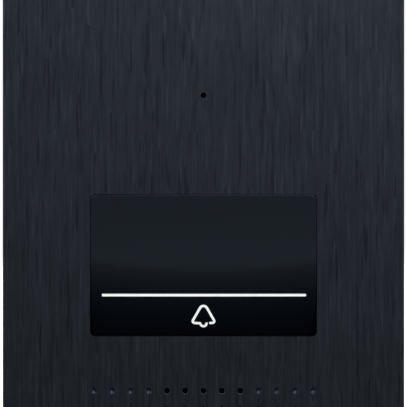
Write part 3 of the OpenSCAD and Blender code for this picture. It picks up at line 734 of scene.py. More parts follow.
def to_data(mesh: Mesh, name: str) -> bpy.types.Mesh:
    """Turns a working mesh into Blender's, and frees it.

    Args:
        mesh: The working mesh.
        name: Name of the new mesh.

    Returns:
        The new mesh.
    """
    data = bpy.data.meshes.new(name)
    mesh.to_mesh(data)
    mesh.free()
    return data


def to_piece(mesh: Mesh, name: str, *finishes: Finish) -> bpy.types.Object:
    """Makes a working mesh an object in the scene, with its finishes.

    Args:
        mesh: The finished mesh, which is freed.
        name: Name of the piece.
        *finishes: Finishes it wears, in the order that its faces count them.

    Returns:
        The new object, at the origin.
    """
    bmesh.ops.remove_doubles(mesh, verts=mesh.verts, dist=1e-7)
    bmesh.ops.recalc_face_normals(mesh, faces=mesh.faces)
    data = to_data(mesh, name)
    for finish in finishes:
        data.materials.append(finish.material())
    return set_up(name, data)


def fit_out(piece: bpy.types.Object, body: str, slot: Slot, *nodes: str) -> bpy.types.Object:
    """Puts a piece on its body and hides the CAD nodes that it replaces.

    Args:
        piece: The finished piece.
        body: CAD body that it rides on.
        slot: Record slot that it takes its finish from; not used.
        *nodes: CAD nodes that it replaces.

    Returns:
        The piece.
    """
    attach(piece, body)
    if nodes:
        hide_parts(*nodes)
    log.info("%s on %s: %d faces", piece.name, body, len(piece.data.polygons))
    return piece


# ---------------------------------------------------------------- geometry node helpers


def new_pattern(name: str, inputs: dict[str, str]) -> tuple[Tree, bpy.types.bpy_prop_collection]:
    """Starts a geometry node tree with named inputs.

    Args:
        name: Name of the tree.
        inputs: Input name to the kind of its socket, apart from the geometry and the finish.

    Returns:
        The tree, and its inputs by name.
    """
    tree = bpy.data.node_groups.new(name, "GeometryNodeTree")
    for label, kind in {"Geometry": "Geometry", **inputs, "Finish": "Material"}.items():
        tree.interface.new_socket(label, in_out="INPUT", socket_type=f"NodeSocket{kind}")
    tree.interface.new_socket("Geometry", in_out="OUTPUT", socket_type="NodeSocketGeometry")
    return tree, add_node(tree, "NodeGroupInput").outputs


def end_pattern(tree: Tree, parts: Node, finish: Link) -> Tree:
    """Makes a pattern's instances real, dresses them and ends the tree.

    Args:
        tree: The geometry node tree.
        parts: Node that gives the instances.
        finish: The tree's material input.

    Returns:
        The finished tree.
    """
    whole = add_node(tree, "GeometryNodeRealizeInstances", {"Geometry": parts})
    dressed = add_node(tree, "GeometryNodeSetMaterial", {"Geometry": whole, "Material": finish})
    add_node(tree, "NodeGroupOutput", {0: dressed})
    return tree


def bake_pattern(name: str, points: Sequence[Size], tree: Tree, values: dict[str, object]) -> bpy.types.Mesh:
    """Runs a geometry node tree on a few loose points and takes the result as a plain mesh.

    Args:
        name: Name of the result.
        points: The points that the tree works on.
        tree: The geometry node tree.
        values: Input name to its value.

    Returns:
        The realised mesh.
    """
    loose = bpy.data.meshes.new(name + "_points")
    loose.from_pydata(points, [], [])
    host = set_up(name + "_host", loose)
    modifier = host.modifiers.new("pattern", "NODES")
    modifier.node_group = tree
    for item in tree.interface.items_tree:
        if item.item_type == "SOCKET" and item.in_out == "INPUT" and item.name in values:
            modifier[item.identifier] = values[item.name]
    host.update_tag()
    bpy.context.view_layer.update()
    made = bpy.data.meshes.new_from_object(host.evaluated_get(bpy.context.evaluated_depsgraph_get()))
    made.name = name
    host.modifiers.clear()
    bpy.data.objects.remove(host, do_unlink=True)
    return made


# ---------------------------------------------------------------- faceplate


@dataclass
class Perforations:
    """The drilled speaker field: open holes in the middle, drill points that stop short around them."""

    columns: int = 13
    rows: int = 7
    pitch: float = 5 * MM
    radius: float = 0.8 * MM
    rim: float = 0.1 * MM
    blind_depth: float = 1.3 * MM
    point_angle: float = 118.0
    open_radius: float = 4.1
    centre_z: float = -74.3 * MM
    steps: int = 28

    def centres(self) -> list[tuple[float, float, bool]]:
        """Lays the holes out.

        Returns:
            Each hole's x, z, and whether it goes through.
        """
        found = []
        for column in range(self.columns):
            for row in range(self.rows):
                x, z = column - (self.columns - 1) / 2, row - (self.rows - 1) / 2
                through = math.hypot(x, z) <= self.open_radius
                found.append((x * self.pitch, z * self.pitch + self.centre_z, through))
        return found

    def hole(self, front: float, back: float, through: bool) -> bpy.types.Object:
        """One hole's deburred rim, wall and end, about the origin.

        Args:
            front: Y of the plate's front face.
            back: Y of its back face.
            through: Whether the hole is open at the back.

        Returns:
            An object that isn't in the scene, for the tree to copy.
        """
        r, rim, depth = self.radius, self.rim, back - front
        point = r / math.tan(math.radians(self.point_angle / 2))
        rings = [(r + rim, 0.0), (r + rim * 0.3, rim * 0.3), (r, rim)]
        if through:
            rings += [(r, depth - rim / 2), (r + rim / 2, depth)]
        else:
            drill = ((1.0, 1.0), (0.92, 0.9), (0.5, 0.5), (0.06, 0.05))
            rings += [(r * wide, self.blind_depth - point * short) for wide, short in drill]
        mesh = bmesh.new()
        loops = turned(mesh, [(radius, front + deep) for radius, deep in rings], (0, 0), self.steps)
        sweep(mesh, loops)
        if not through:
            mesh.faces.new(loops[-1])
        return bpy.data.objects.new("hole_source", to_data(mesh, "hole_source"))

    def tree(self) -> Tree:
        """Geometry nodes that lay the holes out on a grid and choose which ones are open.

        Returns:
            The tree.
        """
        inputs = {"Columns": "Int", "Rows": "Int", "Pitch": "Float", "Open Radius": "Float"}
        tree, given = new_pattern("perforations", {**inputs, "Open Hole": "Object", "Blind Hole": "Object"})
        size = {"Vertices X": given["Columns"], "Vertices Y": given["Rows"]}
        for name, side in (("Columns", "Size X"), ("Rows", "Size Y")):
            gaps = add_node(tree, "ShaderNodeMath", {0: given[name], 1: 1.0}, operation="SUBTRACT")
            size[side] = add_node(tree, "ShaderNodeMath", {0: gaps, 1: given["Pitch"]}, operation="MULTIPLY")
        grid = add_node(tree, "GeometryNodeMeshGrid", size)
        place = add_node(tree, "GeometryNodeInputPosition")
        away = add_node(tree, "ShaderNodeVectorMath", {0: place}, operation="LENGTH").outputs["Value"]
        reach = {0: given["Pitch"], 1: given["Open Radius"]}
        limit = add_node(tree, "ShaderNodeMath", reach, operation="MULTIPLY")
        is_open = add_node(tree, "FunctionNodeCompare", {0: away, 1: limit}, operation="LESS_EQUAL")
        kept = add_node(tree, "GeometryNodeCaptureAttribute", {"Geometry": grid})
        kept.capture_items.new("BOOLEAN", "Open")
        tree.links.new(is_open.outputs[0], kept.inputs[1])
        upright = add_node(tree, "GeometryNodeTransform", {"Geometry": kept, "Rotation": Euler(UPRIGHT)})
        closed = add_node(tree, "FunctionNodeBooleanMath", {0: kept.outputs[1]}, operation="NOT")
        parts = add_node(tree, "GeometryNodeJoinGeometry")
        for name, chosen in (("Open Hole", kept.outputs[1]), ("Blind Hole", closed)):
            source = add_node(tree, "GeometryNodeObjectInfo", {"Object": given[name], "As Instance": True})
            laid = {"Points": upright, "Selection": chosen, "Instance": source.outputs["Geometry"]}
            tree.links.new(add_node(tree, "GeometryNodeInstanceOnPoints", laid).outputs[0], parts.inputs[0])
        return end_pattern(tree, parts, given["Finish"])

    def mesh(self, front: float, back: float) -> bpy.types.Mesh:
        """Drills all holes as one mesh, in place on the plate.

        Args:
            front: Y of the plate's front face.
            back: Y of its back face.

        Returns:
            The holes' walls and ends.
        """
        sources = [self.hole(front, back, through) for through in (True, False)]
        values = {
            "Columns": self.columns,
            "Rows": self.rows,
            "Pitch": self.pitch,
            "Open Radius": self.open_radius,
            "Open Hole": sources[0],
            "Blind Hole": sources[1],
            "Finish": DrilledAluminium().material(),
        }
        made = bake_pattern("perforations", [(0, 0, 0)], self.tree(), values)
        for vertex in made.vertices:
            vertex.co.z += self.centre_z
        for source in sources:
            bpy.data.objects.remove(source)
        return made


@dataclass
class Faceplate:
    """The brushed plate: chamfered outside edges, two openings, the microphone hole and the speaker field."""

    corner: float = 1.5 * MM
    chamfer: float = 0.4 * MM
    deburr: float = 0.04 * MM
    window_opening: Size = (62.2 * MM, 39 * MM, 71.5 * MM)  # width, height and the centre's Z
    button_opening: Size = (62.0 * MM, 38.8 * MM, -25 * MM)
    opening_corner: float = 1.35 * MM
    mic_z: float = 21.5 * MM
    mic_radius: float = 0.8 * MM
    mic_steps: int = 28
    weld: float = 0.004 * MM

    def cutouts(self, width: float, height: float) -> list[tuple[Callable[[float], Outline], int]]:
        """The plate's outline and the openings in it, apart from the speaker field.

        Args:
            width: Width of the plate.
            height: Height of the plate.

        Returns:
            For each, what gives its outline grown by a distance, and which finish its walls wear.
        """
        found = [
            (lambda g: rounded_outline(width + 2 * g, height + 2 * g, self.corner + g), 0),
            (lambda g: circle_outline(self.mic_radius + g, (0, self.mic_z), self.mic_steps), 1),
        ]
        for w, h, z in (self.window_opening, self.button_opening):
            corner = self.opening_corner
            grow = lambda g, w=w, h=h, z=z: rounded_outline(w + 2 * g, h + 2 * g, corner + g, z)
            found.append((grow, 2))
        return found

    def build(self) -> bpy.types.Object:
        """Builds the plate as one closed mesh.

        Returns:
            The piece.
        """
        low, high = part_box("front_plate")
        front, back = low.y, high.y
        thick, c, d = back - front, self.chamfer, self.deburr
        # how far each ring grows, and how deep it lies: the rolled chamfer outside, a deburred edge inside
        outer = [(-c * 1.12, 0), (-c * 0.93, 0.05 * c), (-0.05 * c, 0.93 * c), (0, 1.12 * c)]
        outer += [(0, thick - d), (-0.3 * d, thick - 0.3 * d), (-d, thick)]
        inner = [(d, 0), (0.3 * d, 0.3 * d), (0, d), (0, thick - d / 2), (d / 2, thick)]
        mesh = bmesh.new()
        fronts, backs = [], []
        for make, finish in self.cutouts(high.x - low.x, high.z - low.z):
            loops = [add_loop(mesh, make(grow), front + deep) for grow, deep in (inner if finish else outer)]
            sweep(mesh, loops, finish=finish)
            fronts.append(loops[0])
            backs.append(loops[-1])
        speaker = Perforations()
        for x, z, through in speaker.centres():
            rim = speaker.radius + speaker.rim
            fronts.append(add_loop(mesh, circle_outline(rim, (x, z), speaker.steps), front))
            if through:
                rim = speaker.radius + speaker.rim / 2
                backs.append(add_loop(mesh, circle_outline(rim, (x, z), speaker.steps), back))
        fill_between(mesh, fronts, -1)
        fill_between(mesh, backs, 1)
        holes = speaker.mesh(front, back)
        plain = len(mesh.faces)
        mesh.from_mesh(holes)
        mesh.faces.ensure_lookup_table()
        for face in mesh.faces[plain:]:
            face.material_index = 1
        bpy.data.meshes.remove(holes)
        bmesh.ops.remove_doubles(mesh, verts=mesh.verts, dist=self.weld)
        plate = to_piece(mesh, "faceplate", Slot.brushed_black.value, DrilledAluminium(), MilledAluminium())
        return fit_out(plate, "station", Slot.brushed_black, "front_plate")


# ---------------------------------------------------------------- call button


@dataclass
class CallButton:
    """The one-piece gloss button: flat above, scooped for the finger below, with its lit legend."""

    edge: float = 0.1 * MM
    corner: float = 1.2 * MM
    scoop_middle: float = -24.4 * MM
    scoop_rise: float = 2.5 * MM
    scoop_radius: float = 103 * MM
    wall: float = 1.6 * MM
    roof: float = -31.4 * MM
    post_z: float = -38.3 * MM
    # reach to each side, radius and the tip's Y: the posts on the switches, then those on the springs
    posts: tuple[Size, Size] = ((18 * MM, 2.0 * MM, -25.1 * MM), (26 * MM, 2.5 * MM, -28.7 * MM))
    line_z: float = -33.17 * MM
    line_size: Point = (56.3 * MM, 0.72 * MM)
    bell_z: float = -38.7 * MM
    bell_stroke: float = 0.66 * MM
    legend_proud: float = 0.02 * MM
    legend_sunk: float = 0.3 * MM

    def __post_init__(self) -> None:
        """Reads the button's place from the frame."""
        self.low, self.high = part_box("call_button")
        self.width = self.high.x - self.low.x
        self.height = self.high.z - self.low.z
        self.middle = (self.high.z + self.low.z) / 2
        self.front = self.low.y

    def surface(self, x: float, z: float) -> float:
        """Depth of the button's front before its edge is rounded.

        Args:
            x: Place across the button.
            z: Height on the button.

        Returns:
            Y of the surface there.
        """
        start = self.scoop_middle + self.scoop_rise * (2 * x / self.width) ** 2
        drop = max(0.0, start - z)
        return self.front + drop * drop / (2 * self.scoop_radius)

    def inset(self, x: float, z: float) -> float:
        """Distance from a point inside the outline to the outline.

        Args:
            x: Place across the button.
            z: Height on the button.

        Returns:
            The distance.
        """
        px = abs(x) - (self.width / 2 - self.corner)
        pz = abs(z - self.middle) - (self.height / 2 - self.corner)
        outside = math.hypot(max(px, 0.0), max(pz, 0.0))
        return self.corner - outside - min(max(px, pz), 0.0)

    def skin(self, x: float, z: float) -> float:
        """Depth of the button's front with its rounded edge.

        Args:
            x: Place across the button.
            z: Height on the button.

        Returns:
            Y of the skin there.
        """
        reach = self.inset(x, z)
        if reach >= self.edge:
            return self.surface(x, z)
        short = self.edge - max(reach, 0.0)
        return self.surface(x, z) + self.edge - math.sqrt(max(self.edge**2 - short**2, 0.0))

    def stops(self, size: float, count: int) -> list[float]:
        """Positions across the button, close together at both edges.

        Args:
            size: Width or height to cover.
            count: Steps between the two rounded edges.

        Returns:
            The positions, about the middle.
        """
        left = [-size / 2 + self.edge * n for n in (0.0, 0.03, 0.1, 0.25, 0.5, 0.8, 1.0)]
        inner = size - 2 * self.edge
        middle = [-inner / 2 + inner * (i + 1) / count for i in range(count - 1)]
        return left + middle + [-s for s in reversed(left)]

    def shell(self) -> bpy.types.Object:
        """Builds the front skin, the skirt, its inside and the posts that press the switches and springs.

        Returns:
            The piece.
        """
        mesh = bmesh.new()
        rows = []
        for z in self.stops(self.height, 64):
            over = max(abs(z) - (self.height / 2 - self.corner), 0.0)
            cut = self.corner - math.sqrt(max(self.corner**2 - over**2, 0.0))
            pz, narrow = z + self.middle, 1 - 2 * cut / self.width
            spots = [x * narrow for x in self.stops(self.width, 72)]
            rows.append([mesh.verts.new((px, self.skin(px, pz), pz)) for px in spots])
        sweep(mesh, rows, closed=False)
        rim = rows[0] + [row[-1] for row in rows[1:-1]] + rows[-1][::-1] + [row[0] for row in rows[-2:0:-1]]
        back = [mesh.verts.new((v.co.x, self.high.y, v.co.z)) for v in rim]
        in_x, in_z = 1 - 2 * self.wall / self.width, 1 - 2 * self.wall / self.height
        places = [(v.co.x * in_x, self.middle + (v.co.z - self.middle) * in_z) for v in rim]
        inner = add_loop(mesh, places, self.high.y)
        roof = [mesh.verts.new((v.co.x, self.roof, v.co.z)) for v in inner]
        bridge(mesh, rim, back)
        bridge(mesh, back, inner, smooth=False)
        bridge(mesh, inner, roof)
        mesh.faces.new(roof)
        for reach, radius, end in self.posts:
            for x in (-reach, reach):
                post = turned(mesh, [(radius, self.roof), (radius, end)], (x, self.post_z), 24)
                sweep(mesh, post)
                for loop in post:
                    mesh.faces.new(loop)
        piece = to_piece(mesh, "button_shell", Slot.gloss_black.value)
        return fit_out(piece, "button", Slot.gloss_black, "call_button")

    def ribbon(self, mesh: Mesh, path: Outline, width: float, cap: int = 8) -> None:
        """Lays a closed band with round ends along a path on the button's front.

        Args:
            mesh: Mesh that gets the band.
            path: Middle of the band, in x and z.
            width: Width of the band.
            cap: Segments of each round end.
        """
        half = width / 2
        ways = []
        for i in range(len(path)):
            a, b = path[max(i - 1, 0)], path[min(i + 1, len(path) - 1)]
            ways.append(Vector((b[0] - a[0], b[1] - a[1])).normalized())
        left = [(p[0] - w.y * half, p[1] + w.x * half) for p, w in zip(path, ways)]
        right = [(p[0] + w.y * half, p[1] - w.x * half) for p, w in zip(path, ways)]

        def end(point: Point, way: Vector, sign: int) -> Outline:
            """Round end past a point, from one side to the other.

            Args:
                point: Last point of the path at this end.
                way: Direction of the path there.
                sign: 1 at the path's last point, -1 at its first.

            Returns:
                The points between the two sides.
            """
            start = math.atan2(way.y, way.x) + sign * math.pi / 2
            angles = [start - sign * math.pi * k / cap for k in range(1, cap)]
            return [(point[0] + half * math.cos(a), point[1] + half * math.sin(a)) for a in angles]

        def lift(points: Outline, up: float) -> Loop:
            """Adds vertices over points, up metres in front of the button."""
            return [mesh.verts.new((x, self.surface(x, z) - up, z)) for x, z in points]

        caps = end(path[-1], ways[-1], 1), end(path[0], ways[0], -1)
        rims = []
        for up in (self.legend_proud, -self.legend_sunk):
            lv, rv, tip, tail = (lift(points, up) for points in (left, right, *caps))
            bridge(mesh, lv, rv, smooth=False, closed=False)
            mesh.faces.new([lv[-1], *tip, rv[-1]]).smooth = False
            mesh.faces.new([rv[0], *tail, lv[0]]).smooth = False
            rims.append(lv + tip + rv[::-1] + tail)
        bridge(mesh, *rims, smooth=False)

    def bell_path(self) -> Outline:
        """Middle of the bell's stroke: clapper, base, left side, crown, right side and base.

        Returns:
            The path, in x and z.
        """
        # millimetres and degrees, about the bell's middle
        slope, crown_r, foot_r, top, base, clapper, tail = 60.4, 1.08, 0.5, 2.55, -2.18, 0.85, 1.87
        nx, nz = math.sin(math.radians(slope)), math.cos(math.radians(slope))
        crown_z, foot_z = top - crown_r, base + foot_r
        foot_x = (nz * crown_z + crown_r - foot_r - nz * foot_z) / nx
        arcs = [
            ((0.0, base - 0.08), clapper, 14, -178, 14),
            ((-foot_x, foot_z), foot_r, 268, 90 + slope, 8),
            ((0.0, crown_z), crown_r, 90 + slope, 90 - slope, 14),
            ((foot_x, foot_z), foot_r, 90 - slope, -88, 8),
        ]
        path: Outline = []
        for (cx, cz), radius, start, stop, steps in arcs:
            for i in range(steps + 1):
                angle = math.radians(start + (stop - start) * i / steps)
                path.append((cx + radius * math.cos(angle), cz + radius * math.sin(angle)))
        path.append((tail, base - 0.02))
        return [(x * MM, z * MM + self.bell_z) for x, z in path]

    def legend(self) -> None:
        """Builds the lit line and the lit bell."""
        length, thick = self.line_size
        reach = (length - thick) / 2
        line = [(-reach + 2 * reach * i / 64, self.line_z) for i in range(65)]
        for name, path, width, nodes in (
            ("legend_line", line, thick, ("legend_inlay",)),
            ("legend_bell", self.bell_path(), self.bell_stroke, ()),
        ):
            mesh = bmesh.new()
            self.ribbon(mesh, path, width)
            fit_out(to_piece(mesh, name, Slot.white_light.value), "button", Slot.white_light, *nodes)

    def build(self) -> None:
        """Builds the shell and its legend."""
        self.shell()
        self.legend()


# ---------------------------------------------------------------- camera window and microphone


@dataclass
class CameraWindow:
    """The smoked window over the camera: a raised face in the opening and a flange behind the plate."""

    corner: float = 1.3 * MM
    bevel: float = 0.35 * MM
    fit: float = 0.1 * MM
    opening: Point = (62.2 * MM, 39 * MM)
    flange: float = 2 * MM
    flange_t: float = 1.5 * MM
    air: float = 0.04 * MM  # gap to the gasket, so that the glass and the rubber don't share a face

    def build(self) -> bpy.types.Object:
        """Builds the window as one closed mesh with a polished bevel.

        Returns:
            The piece.
        """
        low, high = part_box("camera_window")
        middle = (low.z + high.z) / 2
        width, height = self.opening[0] - 2 * self.fit, self.opening[1] - 2 * self.fit
        step, grown = high.y - self.flange_t, self.flange + self.fit
        # how far each ring grows, and where it lies: a rounded bevel, the step and the flange
        bevel = ((1, 0), (0.55, 0.08), (0.15, 0.4), (0, 1))
        profile = [(-g * self.bevel, low.y + y * self.bevel) for g, y in bevel]
        profile += [(0.0, step), (grown, step), (grown, high.y - self.air)]
        mesh = bmesh.new()
        loops = [
            add_loop(mesh, rounded_outline(width + 2 * g, height + 2 * g, self.corner + g, middle), y)
            for g, y in profile
        ]
        sweep(mesh, loops, smooth=False)
        mesh.faces.new(loops[0])
        mesh.faces.new(loops[-1])
        piece = to_piece(mesh, "window_glass", Slot.smoked_glass.value)
        return fit_out(piece, "station", Slot.smoked_glass, "camera_window")


@dataclass
class MicrophoneCapsule:
    """The electret capsule: a rolled can with black felt on its face and two solder pads behind."""

    felt: float = 2.35 * MM
    hole: float = 0.4 * MM
    rim: float = 0.25 * MM
    pad_x: float = 1.2 * MM
    steps: int = 48

    def build(self) -> bpy.types.Object:
        """Builds the can, the felt and the pads from the CAD capsule's box.

        Returns:
            The piece.
        """
        low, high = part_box("microphone")
        radius, middle, deep = (high.x - low.x) / 2, (low.z + high.z) / 2, high.y - low.y
        rolled, face = self.rim, low.y
        can = [
            (radius - 2 * rolled, face + 0.15 * MM),
            (radius - 2 * rolled, face + 0.06 * MM),
            (radius - 1.5 * rolled, face),
            (radius - 0.5 * rolled, face + 0.02 * MM),
            (radius, face + rolled),
            (radius, face + 0.86 * deep),
            (radius - rolled, face + 0.9 * deep),
            (radius - 1.3 * rolled, face + 0.94 * deep),
        ]
        rings = [(self.felt, 0.15), (self.felt, 0.04), (self.felt * 0.9, 0.0)]
        rings += [(self.hole, 0.0), (self.hole * 0.875, 0.1)]
        mesh = bmesh.new()
        loops = turned(mesh, can, (0, middle), self.steps)
        sweep(mesh, loops)
        mesh.faces.new(loops[-1])
        cloth = turned(mesh, [(r, face + d * MM) for r, d in rings], (0, middle), self.steps)
        sweep(mesh, [loops[0], *cloth], finish=1)
        mesh.faces.new(cloth[-1]).material_index = 1
        pad = [(r * MM, face + t * deep) for r, t in ((0.55, 0.93), (0.55, 0.97), (0.4, 0.99), (0.12, 1.0))]
        for x in (-self.pad_x, self.pad_x):
            dome = turned(mesh, pad, (x, middle), 16)
            sweep(mesh, dome)
            mesh.faces.new(dome[0])
            mesh.faces.new(dome[-1])
        piece = to_piece(mesh, "microphone_capsule", Slot.steel.value, Slot.mesh.value)
        return fit_out(piece, "station", Slot.steel, "microphone")


# ---------------------------------------------------------------- screws and springs


@dataclass
class Screws:
    """A set of equal screws, laid out by geometry nodes on the centres of the CAD solids."""

    node: str
    name: str
    slot: Slot
    shank: float
    head: float
    head_t: float
    drive_size: float
    turn: Size
    drive_sides: int = 6
    thread: float = 0.5 * MM
    steps: int = 48

    def shape(self, length: float) -> bpy.types.Object:
        """One screw, its head's underside at 0 and its shank along +Y.

        Args:
            length: Length of the shank.

        Returns:
            An object that isn't in the scene, for the tree to copy.
        """
        r, t, s = self.head / 2, self.head_t, self.shank / 2
        half_side = math.pi / self.drive_sides
        mesh = bmesh.new()
        loops = []
        # the drive's floor, its wall and its worn lip, with as many points as the circles have
        for size, deep in ((0.97, 0.42), (0.97, 0.92), (1.06, 1.0)):
            points = []
            for angle in (math.tau * i / self.steps for i in range(self.steps)):
                part = (angle % (2 * half_side)) - half_side
                reach = self.drive_size / 2 * size * math.cos(half_side) / math.cos(part)
                points.append((reach * math.cos(angle), reach * math.sin(angle)))
            loops.append(add_loop(mesh, points, -t * deep))
        profile = [(r * 0.86, -t), (r * 0.96, -t * 0.94), (r, -t * 0.8)]
        profile += [(r, -t * 0.12), (r * 0.97, 0.0), (s, 0.0)]
        turns = max(2, int((length - 0.6 * MM) / self.thread))
        for i in range(turns):
            profile += [(s * 0.82, (i + 0.5) * self.thread), (s, (i + 1) * self.thread)]
        profile += [(s * 0.8, (turns + 0.5) * self.thread), (s * 0.7, max(length, (turns + 0.6) * self.thread))]
        loops += turned(mesh, profile, (0, 0), self.steps)
        sweep(mesh, loops, smooth=False)
        mesh.faces.new(loops[0])
        mesh.faces.new(loops[-1])
        bmesh.ops.recalc_face_normals(mesh, faces=mesh.faces)
        return bpy.data.objects.new("screw_source", to_data(mesh, "screw_source"))

    def tree(self) -> Tree:
        """Geometry nodes that put one screw on every point, each turned a little further than the last.

        Returns:
            The tree.
        """
        tree, given = new_pattern("screws", {"Screw": "Object"})
        source = add_node(tree, "GeometryNodeObjectInfo", {"Object": given["Screw"], "As Instance": True})
        index = add_node(tree, "GeometryNodeInputIndex")
        twist = add_node(tree, "ShaderNodeMath", {0: index, 1: 0.7}, operation="MULTIPLY")
        own = add_node(tree, "ShaderNodeCombineXYZ", {1: twist})
        first = add_node(tree, "FunctionNodeEulerToRotation", {0: own})
        then = add_node(tree, "FunctionNodeEulerToRotation", {0: self.turn})
        spun = add_node(tree, "FunctionNodeRotateRotation", {0: first, 1: then})
        laid = {"Points": given["Geometry"], "Instance": source.outputs["Geometry"], "Rotation": spun}
        return end_pattern(tree, add_node(tree, "GeometryNodeInstanceOnPoints", laid), given["Finish"])

    def build(self, seats: Sequence[Size], length: float) -> bpy.types.Object:
        """Builds the set.

        Args:
            seats: Where the underside of each head sits.
            length: Length of the shank.

        Returns:
            The piece.
        """
        source = self.shape(length)
        data = bake_pattern(self.name, seats, self.tree(), {"Screw": source, "Finish": self.slot.material()})
        bpy.data.objects.remove(source)
        return fit_out(set_up(self.name, data), "station", self.slot, self.node)


class Fasteners:
    """The screws that can be seen from outside: two below and four in the back plate."""

    def build(self) -> None:
        """Builds both sets from their CAD boxes."""
        low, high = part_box("lock_screws")
        head_t, head, y = 1.5 * MM, high.y - low.y, (low.y + high.y) / 2
        screw = Screws("lock_screws", "locking_screws", Slot.stainless, 3 * MM, head, head_t, 2.4 * MM, UPRIGHT)
        seats = [(x, y, low.z + head_t) for x in (low.x + head / 2, high.x - head / 2)]
        screw.build(seats, high.z - low.z - head_t)
        low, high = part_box("back_plate_screws")
        head_t, head, turn = 1.3 * MM, 5 * MM, (0.0, 0.0, math.pi)
        screw = Screws("back_plate_screws", "plate_screws", Slot.steel, 2.6 * MM, head, head_t, 2.3 * MM, turn)
        seats = [
            (x, high.y - head_t, z)
            for x in (low.x + head / 2, high.x - head / 2)
            for z in (low.z + head / 2, high.z - head / 2)
        ]
        screw.build(seats, high.y - low.y - head_t)


@dataclass
class CoilSprings:
    """Wound springs between a fixed seat and a part that presses on them."""

    node: str = "return_springs"
    name: str = "button_springs"
    joint: str = "call_button"
    wire: float = 0.5 * MM
    turns: float = 6.0
    keep: float = 0.9

    def tree(self) -> Tree:
        """Geometry nodes that wind the wire and stand one spring on every point.

        Returns:
            The tree.
        """
        tree, given = new_pattern("springs", {name: "Float" for name in ("Radius", "Wire", "Turns", "Length")})
        shape = {
            "Resolution": 24,
            "Rotations": given["Turns"],
            "Start Radius": given["Radius"],
            "End Radius": given["Radius"],
            "Height": given["Length"],
        }
        coil = add_node(tree, "GeometryNodeCurveSpiral", shape)
        section = add_node(tree, "GeometryNodeCurvePrimitiveCircle", {"Resolution": 8, "Radius": given["Wire"]})
        wound = {"Curve": coil, "Profile Curve": section, "Fill Caps": True}
        wound = add_node(tree, "GeometryNodeCurveToMesh", wound)
        out = add_node(tree, "GeometryNodeTransform", {"Geometry": wound, "Rotation": Euler(UPRIGHT)})
        laid = add_node(tree, "GeometryNodeInstanceOnPoints", {"Points": given["Geometry"], "Instance": out})
        return end_pattern(tree, laid, given["Finish"])

    def build(self) -> bpy.types.Object:
        """Winds the springs in the CAD springs' box.

        Returns:
            The piece.
        """
        low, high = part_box(self.node)
        size, middle = high.z - low.z, (low.z + high.z) / 2
        seats = [(x, high.y - self.wire / 2, middle) for x in (low.x + size / 2, high.x - size / 2)]
        values = {
            "Radius": (size - self.wire) / 2,
            "Wire": self.wire / 2,
            "Turns": self.turns,
            "Length": high.y - low.y - self.wire,
            "Finish": Slot.stainless.material(),
        }
        piece = set_up(self.name, bake_pattern(self.name, seats, self.tree(), values))
        fit_out(piece, "station", Slot.stainless, self.node)
        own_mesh(piece)
        return piece


# ---------------------------------------------------------------- carried-over nodes


class CarriedNodes:
    """The CAD nodes that are shown as they are, each in the finish of its record slot."""

    def dress(self) -> None:
        """Gives every node its slot's material."""
        for entry in frame["record"]["subparts"]:
            data = frame["nodes"][entry["node"]].data
            data.materials.clear()
            data.materials.append(Slot[entry["material_slot"]].material())
        log.info("dressed %d CAD nodes", len(frame["nodes"]))


# ---------------------------------------------------------------- studio


